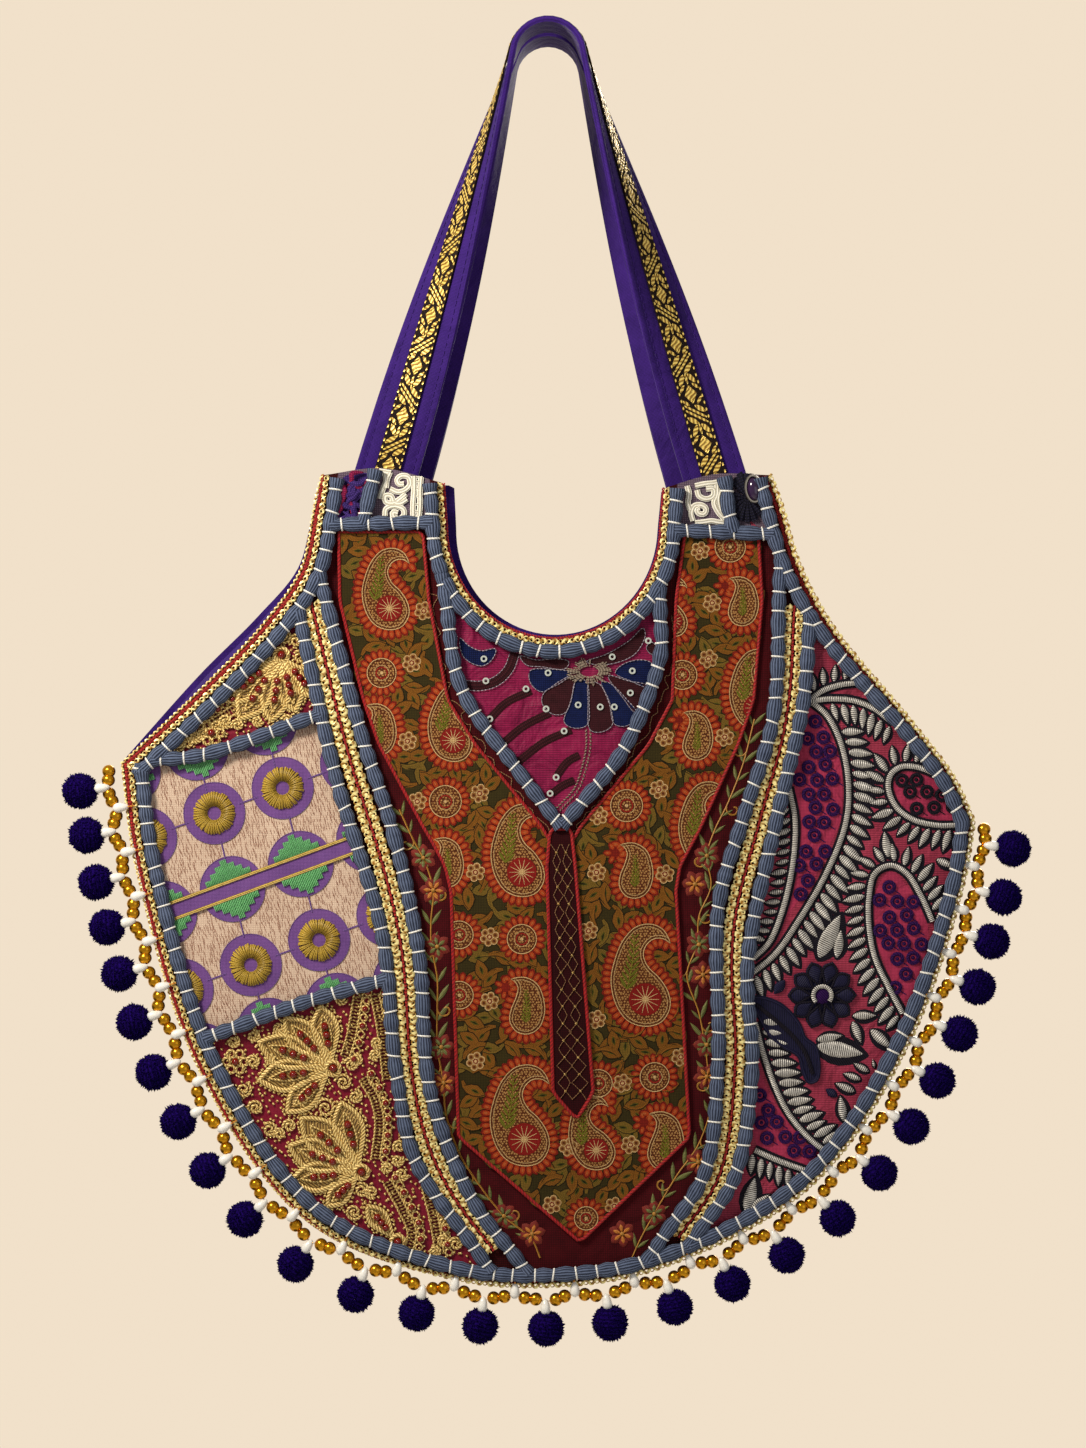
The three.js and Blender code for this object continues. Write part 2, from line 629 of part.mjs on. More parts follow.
// A pompom is a ball of twenty yarn locks, each a pyramid, fused to the drop that it hangs by
function pompom(at) {
  const ball = new THREE.IcosahedronGeometry(POMPOM_CORE, 0);
  const place = ball.attributes.position;
  const corners = [];
  for (let i = 0; i < place.count; i += 3) {
    const [a, b, c] = [0, 1, 2].map((k) => new THREE.Vector3().fromBufferAttribute(place, i + k));
    const tip = a.clone().add(b).add(c).setLength(POMPOM_TIP);
    for (const [from, to] of [[a, b], [b, c], [c, a]])
      corners.push(...from.toArray(), ...to.toArray(), ...tip.toArray());
  }
  const locks = new THREE.BufferGeometry();
  locks.setAttribute("position", new THREE.Float32BufferAttribute(corners, 3));
  const dropAt = STRING_FAR + STRING_RADIUS + SEWN_GAP + DROP_LONG;
  const middle = below(at, dropAt + DROP_LONG + POMPOM_CORE - DROP_SUNK).place;
  return solid(locks.translate(middle.x, middle.y, middle.z)).add(drop(at, dropAt));
}
for (let i = 0; i < POMPOMS; i++) {
  const number = String(i + 1).padStart(2, "0");
  put("pompom_" + number, pompom((i + 0.5) / POMPOMS), MATERIALS.yarn);
}

export default bag;
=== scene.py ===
# %% [markdown]
# # A patchwork shoulder bag
# This bag is sewn from scraps: embroidered silk, velvet, a printed cotton, lace and braid, with padded cords
# couched over every seam and a fringe of beads and pompoms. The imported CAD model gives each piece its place
# and size. Here each piece gets its cloth, its threads and its light. All sizes are in millimetres and turn
# to metres only when a mesh is made.

import math
import bpy
import numpy as np
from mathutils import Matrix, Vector
from mathutils.geometry import delaunay_2d_cdt


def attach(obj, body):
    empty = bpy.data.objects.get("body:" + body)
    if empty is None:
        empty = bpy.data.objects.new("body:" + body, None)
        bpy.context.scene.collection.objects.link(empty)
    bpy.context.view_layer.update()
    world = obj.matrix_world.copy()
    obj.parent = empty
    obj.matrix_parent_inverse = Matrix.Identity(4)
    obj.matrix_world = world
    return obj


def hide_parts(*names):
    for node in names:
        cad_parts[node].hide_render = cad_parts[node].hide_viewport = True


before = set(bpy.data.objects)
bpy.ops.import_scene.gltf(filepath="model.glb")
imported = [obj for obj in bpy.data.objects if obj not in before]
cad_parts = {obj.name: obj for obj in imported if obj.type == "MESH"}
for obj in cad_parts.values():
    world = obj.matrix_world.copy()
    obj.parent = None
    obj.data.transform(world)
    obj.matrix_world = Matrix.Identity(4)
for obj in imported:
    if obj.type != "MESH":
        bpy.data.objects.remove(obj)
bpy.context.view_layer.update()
rng = np.random.default_rng(7)
MM = 0.001
print("loaded", len(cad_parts), "nodes")

# %% [markdown]
# ## Camera
# The bag is seen square on from about two steps away, so the camera looks straight along +Y. The lens follows
# from the distance and from how much of the bag the frame holds.

# %% Camera
VIEW_X = -2.5
VIEW_Z = -347.5
VIEW_DISTANCE = 1800
VIEW_TALL = 724
FRONT_Y = -14

camera_data = bpy.data.cameras.new("camera")
camera_data.lens = camera_data.sensor_width * VIEW_DISTANCE / VIEW_TALL
camera = bpy.data.objects.new("camera", camera_data)
camera.location = (VIEW_X * MM, (FRONT_Y - VIEW_DISTANCE) * MM, VIEW_Z * MM)
camera.rotation_euler = (math.pi / 2, 0, 0)
bpy.context.collection.objects.link(camera)
bpy.context.scene.camera = camera
print("lens", round(camera_data.lens, 1), "mm")

# %% [markdown]
# ## Paint helpers
# A shader is a small graph. One function adds a node with its settings and links, and hex colours turn to the
# linear light that the shader wants. Every mesh here carries UVs in millimetres, so a pattern's scale is one
# over its real spacing. Blender's wave texture repeats every 0.314 units at scale 1.

# %% Paint helpers
WAVE = 2 * math.pi / 20


def linear(hex_colour):
    parts = [int(hex_colour[i : i + 2], 16) / 255 for i in (1, 3, 5)]
    return tuple(c / 12.92 if c <= 0.04045 else ((c + 0.055) / 1.055) ** 2.4 for c in parts) + (1.0,)


def add(tree, kind, inputs=None, **settings):
    made = tree.nodes.new("ShaderNode" + kind)
    for key, value in settings.items():
        setattr(made, key, value)
    for key, value in (inputs or {}).items():
        if isinstance(value, bpy.types.NodeSocket):
            tree.links.new(value, made.inputs[key])
        else:
            made.inputs[key].default_value = value
    return made


def start_paint(name, sockets):
    paint = bpy.data.materials.new(name)
    paint.use_nodes = True
    surface = paint.node_tree.nodes["Principled BSDF"]
    for key, value in sockets.items():
        surface.inputs[key].default_value = value
    return paint, paint.node_tree, surface


print("paint helpers ready")

# %% [markdown]
# ## Light
# A large soft lamp high on the left models the cords and threads, a weaker one on the right opens the
# shadows, and one behind keeps the back readable. The world is pale behind the bag and dimmer in front of it,
# as in a room where the bag hangs near the bright side, and a pale floor lies well below.

# %% Light
LAMPS = [
    {"name": "key", "x": -620, "y": -620, "z": 250, "size": 240, "watts": 13, "tint": (1.0, 0.92, 0.8)},
    {"name": "fill", "x": 1000, "y": -1500, "z": -300, "size": 1200, "watts": 3, "tint": (0.92, 0.95, 1.0)},
    {"name": "back", "x": 500, "y": 1500, "z": 300, "size": 1000, "watts": 22, "tint": (1.0, 0.96, 0.9)},
]
LIT_AT = Vector((0, 0, -400)) * MM
PALE = (0.88, 0.75, 0.59, 1)
DIM = (0.33, 0.31, 0.29, 1)
for lamp in LAMPS:
    light = bpy.data.lights.new(lamp["name"], "AREA")
    light.energy = lamp["watts"]
    light.size = lamp["size"] * MM
    light.color = lamp["tint"]
    holder = bpy.data.objects.new(lamp["name"], light)
    holder.location = Vector((lamp["x"], lamp["y"], lamp["z"])) * MM
    holder.rotation_euler = (LIT_AT - holder.location).to_track_quat("-Z", "Y").to_euler()
    bpy.context.collection.objects.link(holder)
world = bpy.data.worlds.new("pale room")
world.use_nodes = True
room = world.node_tree
toward = add(room, "TexCoord").outputs["Generated"]
depth_way = add(room, "SeparateXYZ", {0: toward}).outputs["Y"]
behind = add(room, "MapRange", {"Value": depth_way, "From Min": 0.2, "From Max": 0.9}).outputs[0]
tones = add(room, "Mix", {0: behind, 6: DIM, 7: PALE}, data_type="RGBA").outputs[2]
room.links.new(tones, room.nodes["Background"].inputs["Color"])
bpy.context.scene.world = world
bpy.context.scene.view_settings.view_transform = "Standard"
print("lamps", len(LAMPS))

# %% [markdown]
# ## Woven cloth
# Cotton, silk and velvet are all threads that cross. Two crossed waves make the weave, a slow noise makes the
# uneven dye, and the same waves paint the grooves between threads darker than the crowns, a painted shade.
# Real thread spacing is near 0.3 mm, which is finer than a pixel here, so weaves are drawn at 0.7 to 1.4 mm
# to show. Soft cloth also has shallow folds, and folds says how deep they are in mm.

# %% Woven cloth
FOLD_SIZE = 24


def woven(name, dark, light, thread=0.8, rough=0.85, relief=0.12, sheen=0.0, slub=1.0, mottle=18, folds=0.0):
    sockets = {"Roughness": rough, "Sheen Weight": sheen, "Sheen Roughness": 0.4, "Specular IOR Level": 0.15}
    paint, tree, surface = start_paint(name, sockets)
    uv = add(tree, "UVMap").outputs["UV"]
    waves = [
        add(tree, "TexWave", {"Vector": uv, "Scale": WAVE / spacing, "Distortion": 0.7, "Detail": 1},
            bands_direction=way).outputs["Fac"]
        for way, spacing in (("X", thread), ("Y", thread * slub))
    ]
    cross = add(tree, "Math", {0: waves[0], 1: waves[1]}, operation="MULTIPLY").outputs[0]
    uneven = {"Vector": uv, "Scale": 1 / mottle, "Detail": 6, "Roughness": 0.7}
    dye = add(tree, "TexNoise", uneven).outputs["Fac"]
    # The weave product darkens the colour in the grooves between threads, a painted shade, and the noise adds
    # uneven dye.
    tone = add(tree, "Math", {0: cross, 1: dye}, operation="ADD").outputs[0]
    share = add(tree, "MapRange", {"Value": tone, "From Min": 0.35, "From Max": 1.25}).outputs[0]
    mixed = add(tree, "Mix", {0: share, 6: linear(dark), 7: linear(light)}, data_type="RGBA")
    raised = add(tree, "Bump", {"Height": cross, "Strength": 0.8, "Distance": relief * MM})
    if folds:
        crease = add(tree, "TexNoise", {"Vector": uv, "Scale": 1 / FOLD_SIZE, "Detail": 3, "Distortion": 1.5})
        soft = add(tree, "Bump", {"Height": crease.outputs["Fac"], "Distance": folds * MM})
        tree.links.new(soft.outputs[0], raised.inputs["Normal"])
    tree.links.new(mixed.outputs[2], surface.inputs["Base Color"])
    tree.links.new(raised.outputs[0], surface.inputs["Normal"])
    return paint


purple_cotton = woven("plain woven purple cotton", "#1e0b48", "#422084", 0.7, 0.8, 0.08, 0.1, folds=2)
maroon_velvet = woven("maroon cotton velvet", "#260307", "#520810", 0.9, 0.95, 0.1, 0.03, folds=2)
olive_cotton = woven("olive printed cotton", "#221c08", "#3c3210", 0.8, 0.85, 0.08)
magenta_silk = woven("slubbed magenta silk", "#54082c", "#9e164e", 0.7, 0.55, 0.06, 0.1, slub=1.6, folds=4)
crimson_silk = woven("crimson silk ground", "#5a0c1e", "#901a36", 0.7, 0.6, 0.08, 0.1, folds=3)
cream_cotton = woven("cream cotton ground", "#b79c88", "#dfc8b2", 0.9, 0.85, 0.12)
rose_silk = woven("rose silk ground", "#681a2c", "#b43e58", 0.7, 0.55, 0.06, 0.1, slub=1.6, folds=4)
mauve_net = woven("mauve grey net", "#4a3e4c", "#7e6c7c", 1.1, 0.9, 0.15)
braid_ground = woven("dark red braid ground", "#1c0405", "#46090d", 1.0, 0.9, 0.15)
print("cloths", len(bpy.data.materials))

# %% [markdown]
# ## Spun thread
# A thread is plied, so its light runs in slanting ridges. The ridges come from a diagonal wave over the
# tube's UVs, whose first axis goes round the thread and second along it. The wave bumps the surface and also
# paints the ridges lighter and the grooves darker, a painted highlight and shade, mixed with a slow random
# noise. Gilt and silver thread are metal foil on a cotton core, so they are metallic with a broken, brushed
# shine.


# %% Spun thread
def spun(name, dark, light, ply=1.2, rough=0.7, relief=0.2, metal=0.0, gloss=0.4, way="DIAGONAL"):
    sockets = {"Roughness": rough, "Metallic": metal, "Specular IOR Level": gloss}
    paint, tree, surface = start_paint(name, sockets)
    uv = add(tree, "UVMap").outputs["UV"]
    twist = add(tree, "TexWave", {"Vector": uv, "Scale": WAVE / ply, "Distortion": 0.8, "Detail": 2},
                bands_direction=way).outputs["Fac"]
    wear = add(tree, "TexNoise", {"Vector": uv, "Scale": 0.25, "Detail": 5}).outputs["Fac"]
    # The twist wave paints the ridges lighter and the grooves darker, a painted highlight and shade, and the
    # noise adds random tone.
    tone = add(tree, "Math", {0: twist, 1: wear}, operation="ADD").outputs[0]
    share = add(tree, "MapRange", {"Value": tone, "From Min": 0.5, "From Max": 1.4}).outputs[0]
    mixed = add(tree, "Mix", {0: share, 6: linear(dark), 7: linear(light)}, data_type="RGBA")
    raised = add(tree, "Bump", {"Height": twist, "Strength": 0.9, "Distance": relief * MM})
    tree.links.new(mixed.outputs[2], surface.inputs["Base Color"])
    tree.links.new(raised.outputs[0], surface.inputs["Normal"])
    return paint


blue_yarn = spun("blue cotton roving", "#1c2438", "#5f6c88", 1.4, 0.95, 0.35, way="X")
white_thread = spun("white cotton thread", "#d6d2c6", "#fbfaf4", 0.8, 0.7, 0.1)
gilt_braid = spun("gilt braid", "#9c6a18", "#fff0a6", 2.2, 0.34, 0.12, 0.15)
zari_gold = spun("antique gold purl", "#9a7028", "#f8dc90", 0.9, 0.46, 0.3, 0.2)
red_braid = spun("dark red braid", "#640a0e", "#ae201e", 1.0, 0.8, 0.15)
red_piping = spun("red satin piping", "#6c0408", "#a60c12", 1.0, 0.7, 0.1)
indigo_wool = spun("indigo wool yarn", "#070124", "#1a0658", 1.0, 0.95, 0.2, gloss=0.04)
print("threads ready")

# %% [markdown]
# ## Beads and stones
# Gilt beads are polished metal, drop beads are opaque white glass, and the small red beads are clear glass
# over a dark thread, which reads as deep red with a bright spot.


# %% Beads and stones
def polished(name, colour, rough, metal=0.0, coat=0.0):
    sockets = {"Roughness": rough, "Metallic": metal, "Coat Weight": coat}
    paint, tree, surface = start_paint(name, sockets)
    uv = add(tree, "UVMap").outputs["UV"]
    wear = add(tree, "TexNoise", {"Vector": uv, "Scale": 0.6, "Detail": 4}).outputs["Fac"]
    dark = tuple(c * 0.7 for c in linear(colour)[:3]) + (1.0,)
    mixed = add(tree, "Mix", {0: wear, 6: dark, 7: linear(colour)}, data_type="RGBA")
    tree.links.new(mixed.outputs[2], surface.inputs["Base Color"])
    return paint


bead_gold = polished("polished gilt bead", "#e2a11c", 0.22, 0.85)
bead_white = polished("white glass drop", "#fffdf6", 0.25, 0.0, 0.4)
bead_red = polished("red glass bead", "#7c0d06", 0.12, 0.0, 0.3)
stone_purple = polished("polished purple stone", "#2c0f3c", 0.12, 0.0, 0.6)
silver_rim = polished("worn silver rim", "#b8b2a6", 0.35, 0.85)
print("materials", len(bpy.data.materials))

# %% [markdown]
# ## Lines and the swollen front
# Every cord, seam and braid is a smooth line on the front. A centripetal Catmull-Rom curve goes through a few
# measured places without overshooting. The front itself swells like a filled pouch, and a slow ripple keeps
# it from looking pressed.

# %% Lines
CURVE_STEPS = 24
BELLY = 16
BELLY_WIDE = 140
BELLY_TALL = 120
BELLY_Z = -450
RIPPLE = 0.35
FRONT_INSIDE = -10


def unit(ways):
    return ways / np.maximum(1e-9, np.linalg.norm(ways, axis=-1, keepdims=True))


def polar(turn):
    return np.stack([np.cos(turn), np.sin(turn)], -1)


def spokes(count):
    return 2 * math.pi * np.arange(count) / count


def run_of(line):
    steps = np.linalg.norm(np.diff(np.asarray(line, float), axis=0), axis=1)
    return np.concatenate([[0], np.cumsum(steps)])


def picked(wanted, at, rows):
    columns = np.atleast_2d(np.asarray(rows, float).T)
    return np.column_stack([np.interp(wanted, at, column) for column in columns])


def evenly(line, step):
    lengths = run_of(line)
    count = max(2, int(round(lengths[-1] / step)) + 1)
    return picked(np.linspace(0, lengths[-1], count), lengths, line)


def closed_loop(points, step):
    return evenly(np.vstack([points, points[:1]]), step)[:-1]


def smooth(points, step=2.0, closed=False):
    rows = np.asarray(points, float)
    if closed:
        ends = np.vstack([rows[-1], rows, rows[:2]])
    else:
        ends = np.vstack([2 * rows[0] - rows[1], rows, 2 * rows[-1] - rows[-2]])
    out = []
    for a, b, c, d in zip(ends, ends[1:], ends[2:], ends[3:]):
        gaps = [max(1e-6, np.linalg.norm(q - p)) ** 0.5 for p, q in ((a, b), (b, c), (c, d))]
        knots = np.cumsum([0] + gaps)
        t = np.linspace(knots[1], knots[2], CURVE_STEPS, endpoint=False)[:, None]

        def blend(p, q, first, last):
            start, end = knots[first], knots[last]
            return (end - t) / (end - start) * p + (t - start) / (end - start) * q

        near = blend(blend(a, b, 0, 1), blend(b, c, 1, 2), 0, 2)
        far = blend(blend(b, c, 1, 2), blend(c, d, 2, 3), 1, 3)
        out.append(blend(near, far, 1, 2))
    if closed:
        return closed_loop(np.vstack(out), step)
    return evenly(np.vstack(out + [rows[-1:]]), step)


def sideways(line):
    run = unit(np.gradient(np.asarray(line)[:, :2], axis=0))
    return np.column_stack([-run[:, 1], run[:, 0]])


def heading_of(line):
    return np.arctan2(np.gradient(line[:, 1]), np.gradient(line[:, 0]))


def shifted(line, distance):
    line = np.asarray(line, float)
    moved = line.copy()
    moved[:, :2] += sideways(line) * np.reshape(distance, (-1, 1))
    return moved


def grown(loop, distance):
    ring = np.vstack([loop[-1:], loop, loop[:1]])
    x, z = loop.T
    turn = np.sign(np.sum(x * np.roll(z, -1) - np.roll(x, -1) * z))
    return loop - sideways(ring)[1:-1] * turn * distance


def inside(x, z):
    swell = BELLY * np.exp(-((x / BELLY_WIDE) ** 2) - ((z - BELLY_Z) / BELLY_TALL) ** 2)
    ripple = RIPPLE * np.sin(x / 19 + z / 31) * np.sin(z / 23 - x / 41)
    return FRONT_INSIDE - swell - ripple


def on_front(spots, depth):
    x, z = np.moveaxis(np.asarray(spots, float), -1, 0)
    return np.stack([x, inside(x, z) - depth, z], -1)


print("front swells", BELLY, "mm")

# %% [markdown]
# ## Inside a seam
# Embroidery stops at the seam of its patch. A point is inside a loop if a level line from it crosses the loop
# an odd number of times. A point that strays past the seam moves to the nearest place on it, which trims a
# motif as scissors would, and an even grid of points inside a loop starts every fill.

# %% Inside a seam
ROW_GAP = 0.866


def within(spots, loop):
    x, z = np.asarray(spots, float).T
    odd = np.zeros(len(x), bool)
    for p, q in zip(loop, np.roll(loop, -1, axis=0)):
        level = (p[1] > z) != (q[1] > z)
        odd ^= level & (x < p[0] + (z - p[1]) / (q[1] - p[1] + 1e-12) * (q[0] - p[0]))
    return odd


def gaps_to(spots, loop):
    return np.hypot(*(spots.T[:, :, None] - loop.T[:, None]))


def kept_inside(spots, loop):
    spots = np.array(spots, float, order="C")
    flat = spots.reshape(-1, 2)
    past = ~within(flat, loop)
    if past.any():
        flat[past] = loop[gaps_to(flat[past], loop).argmin(axis=1)]
    return spots


def grid_inside(loop, spacing, margin):
    (left, low), (right, high) = loop.min(axis=0), loop.max(axis=0)
    x, z = np.meshgrid(np.arange(left, right, spacing), np.arange(low, high, spacing * ROW_GAP))
    x[1::2] += spacing / 2
    spots = np.column_stack([x.ravel(), z.ravel()])
    spots = spots[within(spots, loop)]
    return spots[gaps_to(spots, loop).min(axis=1) > margin]


print("rows of a grid stand", ROW_GAP, "of its spacing apart")

# %% [markdown]
# ## Making a piece
# A piece is a list of chunks. Each chunk has points, faces, UVs and one paint. Building meshes from arrays is
# quick and exact, and thousands of threads join into one object, so the outliner stays short.


# %% Making a piece
def chunk(points, faces, paint, uv):
    points, uv = np.reshape(points, (-1, 3)), np.reshape(uv, (-1, 2))
    return {"points": points, "faces": faces, "paint": paint, "uv": uv}


def make_piece(name, chunks, nodes=(), crease=50):
    paints = []
    faces = []
    slots = []
    count = 0
    for part in chunks:
        if part["paint"] not in paints:
            paints.append(part["paint"])
        for block in part["faces"]:
            faces.extend((np.asarray(block) + count).tolist())
            slots.extend([paints.index(part["paint"])] * len(block))
        count += len(part["points"])
    mesh = bpy.data.meshes.new(name)
    mesh.from_pydata((np.vstack([part["points"] for part in chunks]) * MM).tolist(), [], faces)
    for paint in paints:
        mesh.materials.append(paint)
    mesh.polygons.foreach_set("material_index", slots)
    mesh.polygons.foreach_set("use_smooth", [True] * len(faces))
    corners = np.empty(len(mesh.loops), int)
    mesh.loops.foreach_get("vertex_index", corners)
    uv = np.vstack([part["uv"] for part in chunks])
    mesh.uv_layers.new(name="UVMap").data.foreach_set("uv", uv[corners].astype(np.float32).ravel())
    mesh.set_sharp_from_angle(angle=math.radians(crease))
    mesh.update()
    piece = bpy.data.objects.new(name, mesh)
    bpy.context.collection.objects.link(piece)
    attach(piece, "root")
    if nodes:
        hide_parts(*nodes)
    print(name, len(faces), "faces")
    return piece


# %% [markdown]
# ## Strands
# Cords, threads, stitches and piping are all tubes. Many strands of equal point count are made at once. Each
# keeps one side towards the viewer, so a flattened strand lies flat on the cloth. A couched strand lies on
# the front, and its lift is measured from the top of the patches.

# %% Strands
FORWARD = np.array([0.0, -1.0, 0.0])
PATCH_TOP = 3.5


def tube_faces(many, long, sides, closed=False):
    tube = np.arange(many)[:, None, None] * long
    ring = np.arange(long if closed else long - 1)[:, None]
    first, after = (tube + ring) * sides, (tube + (ring + 1) % long) * sides
    k = np.arange(sides)
    n = (k + 1) % sides
    faces = [np.stack([first + k, first + n, after + n, after + k], -1).reshape(-1, 4)]
    if not closed:
        start = tube[:, 0] * sides
        faces += [start + k[::-1], start + (long - 1) * sides + k]
    return faces


def strands(paths, wide, high, paint, sides=6, up=FORWARD, closed=False):
    paths = np.asarray(paths, float)
    paths = paths.reshape(-1, *paths.shape[-2:])
    many, long = paths.shape[:2]
    if closed:
        run = unit(np.roll(paths, -1, axis=1) - np.roll(paths, 1, axis=1))
    else:
        run = unit(np.gradient(paths, axis=1))
    side = unit(np.cross(run, np.broadcast_to(up, run.shape)))
    top = np.cross(side, run)
    turn = spokes(sides) + math.pi / sides
    wide, high = (np.broadcast_to(size, (many, long))[..., None, None] / 2 for size in (wide, high))
    across, upward = polar(turn).T[..., None]
    rings = paths[:, :, None] + side[:, :, None] * across * wide + top[:, :, None] * upward * high
    steps = np.linalg.norm(np.diff(paths, axis=1), axis=2)
    along = np.concatenate([np.zeros((many, 1)), np.cumsum(steps, axis=1)], axis=1)
    round_mm = turn * float(wide.max() + high.max()) / 2
    uv = np.stack(np.broadcast_arrays(round_mm, along[..., None]), -1)
    return chunk(rings, tube_faces(many, long, sides, closed), paint, uv)


def couched(paths, wide, high, lift, paint, sides=5, cut=None, closed=False):
    kept = paths if cut is None else kept_inside(paths, cut)
    return strands(on_front(kept, PATCH_TOP + lift), wide, high, paint, sides, closed=closed)


print("strands face", FORWARD)

# %% [markdown]
# ## Padded shapes
# A satin-stitched petal or a printed leaf is an outline that rises to its middle: a lot for padded satin,
# hardly at all for print. Rings of points shrink towards the middle, so the shape still follows the swollen
# front.

# %% Padded shapes
UV_DRIFT = 0.37


def copies(outline, at, lift, rise, paint, angle=0.0, size=1.0, rings=1, cut=None):
    at = np.asarray(at, float).reshape(-1, 2)
    many, count = len(at), len(outline)
    middle = outline.mean(axis=0)
    bend = 0.5 * math.pi * np.arange(rings) / rings
    local = np.vstack([middle + (outline - middle) * share for share in np.cos(bend)] + [middle])
    heights = PATCH_TOP + lift + rise * np.append(np.repeat(np.sin(bend), count), 1.0)
    flat = local * np.broadcast_to(size, many)[:, None, None]
    cos, sin = polar(np.broadcast_to(angle, many)).T[..., None]
    x, z = flat[..., 0], flat[..., 1]
    spots = at[:, None] + np.stack([x * cos - z * sin, x * sin + z * cos], -1)
    if cut is not None:
        spots = kept_inside(spots, cut)
    first = np.arange(many)[:, None] * len(local)
    k = np.arange(count)
    n = (k + 1) % count
    faces = []
    for low in range(0, (rings - 1) * count, count):
        ring = first + low
        faces.append(np.stack([ring + k, ring + n, ring + count + n, ring + count + k], -1).reshape(-1, 4))
    last = first + (rings - 1) * count
    tip = np.broadcast_to(first + rings * count, (many, count))
    faces.append(np.stack([last + k, last + n, tip], -1).reshape(-1, 3))
    return chunk(on_front(spots, heights), faces, paint, flat + at[:, None] * UV_DRIFT)


def turned(outline, at, angle=0.0, size=1.0):
    spin = np.array([[math.cos(angle), math.sin(angle)], [-math.sin(angle), math.cos(angle)]])
    return np.asarray(outline, float) * size @ spin + np.asarray(at, float)


def disc(radius, count=18):
    return polar(spokes(count)) * radius


def leaf(long, wide, fat=0.5, count=7, blunt=1.0):
    t = 0.5 - 0.5 * np.cos(math.pi * np.linspace(0, 1, count + 1))
    half = wide / 2 * np.sin(math.pi * t ** (math.log(0.5) / math.log(fat))) ** blunt
    lower = np.column_stack([t * long, -half])
    upper = np.column_stack([t * long, half])[::-1]
    return np.vstack([lower, upper[1:-1]])


print("patterns drift", UV_DRIFT, "from copy to copy")

# %% [markdown]
# ## The patchwork plan
# The edge of the front and the padded cords divide it into patches. The places below repeat the CAD plan.
# trim is how far inside the edge the rim cord runs, and back is how far the plain back shows past it.

# %% The patchwork plan
# Columns of the edge: x, z, trim, back.
LEFT_FLARE = [
    (-112, -223, 7, 1), (-117.5, -243, 9.5, 2), (-124, -270, 10, 3), (-142.5, -297, 10, 6),
    (-171, -327, 10, 7), (-213.5, -367, 10, 2),
]
BOTTOM = [
    (-213.5, -367, 10, 2), (-204.5, -420.5, 8.5, 0), (-173, -520.5, 8, 0), (-119.5, -595, 7, 1),
    (-47.5, -623.5, 5, 2), (5.5, -627, 5, 2), (57.5, -617.5, 4.5, 1), (131, -577, 4.5, 0),
    (180, -505, 4.5, 0), (207, -425.5, 4.5, 0), (212, -396, 5, 0),
]
RIGHT_FLARE = [
    (212, -396, 5, 0), (202, -374.5, 5, 1), (182, -348, 5, 1), (141, -298, 6, 1), (124.5, -266.5, 7, 1),
    (116.5, -239.5, 7, 1), (110.5, -223, 5, 0),
]
# Columns of the tabs: x, z.
RIGHT_TAB_TOP = [(110.5, -223), (83.5, -222.5), (58, -229.5)]
LEFT_TAB_TOP = [(-52.5, -227), (-83, -219.5), (-112, -223)]
NECK_X, NECK_Z = 2.75, -248.5
NECK_HALF, NECK_DEEP = 53.75, 56.5
NECK_TRIM = 6.5
# Each cord is the places x and z that it goes through.
CORDS = {
    "column_left_outer": [(-124, -294), (-105.5, -374.5), (-82.5, -451), (-75.5, -520), (-66, -565),
        (-36, -609.5)],
    "column_left_inner": [(-112.5, -279.5), (-93, -352.5), (-76, -405), (-64, -462), (-58.5, -530),
        (-37.5, -585), (-18, -611)],
    "column_right_inner": [(115.5, -279), (112, -345), (97.5, -392.5), (84.5, -438), (84.5, -514.5),
        (78, -571), (56.5, -604.5)],
    "column_right_outer": [(130.5, -298), (127, -338), (113, -397.5), (99, -466.5), (101.5, -518.5),
        (93, -573), (73.5, -603)],
    "yoke_left": [(-51.5, -282), (-43.5, -329), (-17, -368), (6.5, -398.5)],
    "yoke_right": [(6.5, -398.5), (38, -359.5), (56, -313.5), (56, -293)],
    "divider_upper": [(-196.5, -365.5), (-172.5, -363), (-116, -343.5)],
    "divider_lower": [(-166.5, -502.5), (-118.5, -485), (-83, -475)],
    "tab_left": [(-106, -248), (-60, -247)],
    "tab_right": [(67, -251), (106, -252.5)],
}
left_flare, bottom, right_flare = (smooth(rows) for rows in (LEFT_FLARE, BOTTOM, RIGHT_FLARE))
edge = np.vstack([left_flare[:-1], bottom[:-1], right_flare])
bow = polar(np.linspace(0, -math.pi, 60)) * (NECK_HALF, NECK_DEEP) + (NECK_X, NECK_Z)
neck = evenly(np.vstack([RIGHT_TAB_TOP[-1], bow, LEFT_TAB_TOP[0]]), 2)
right_top, left_top = smooth(RIGHT_TAB_TOP), smooth(LEFT_TAB_TOP)
outline = np.vstack([edge[:, :2], right_top[1:-1], neck, left_top[1:-1]])
lines = {name: smooth(rows) for name, rows in CORDS.items()}
lines["rim"] = evenly(shifted(edge, edge[:, 2])[:, :2], 2)
lines["neck"] = evenly(shifted(neck, NECK_TRIM), 2)
lines["yoke"] = np.vstack([lines["yoke_left"][:-1], lines["yoke_right"]])
print("edge", len(edge), "points,", len(lines), "lines")

# %% [markdown]
# ## Cutting the patches
# The whole front is triangulated once with the seams as fixed lines. A patch is then every triangle that can
# be reached from a place inside it without crossing its seams, just as a cutter would follow chalk lines.

# %% Cutting the patches
GRID = 4.5
CUT_PAST = 16


def extended(line, past):
    first = line[0] + unit(line[0] - line[1]) * past
    last = line[-1] + unit(line[-1] - line[-2]) * past
    return np.vstack([first, line, last])


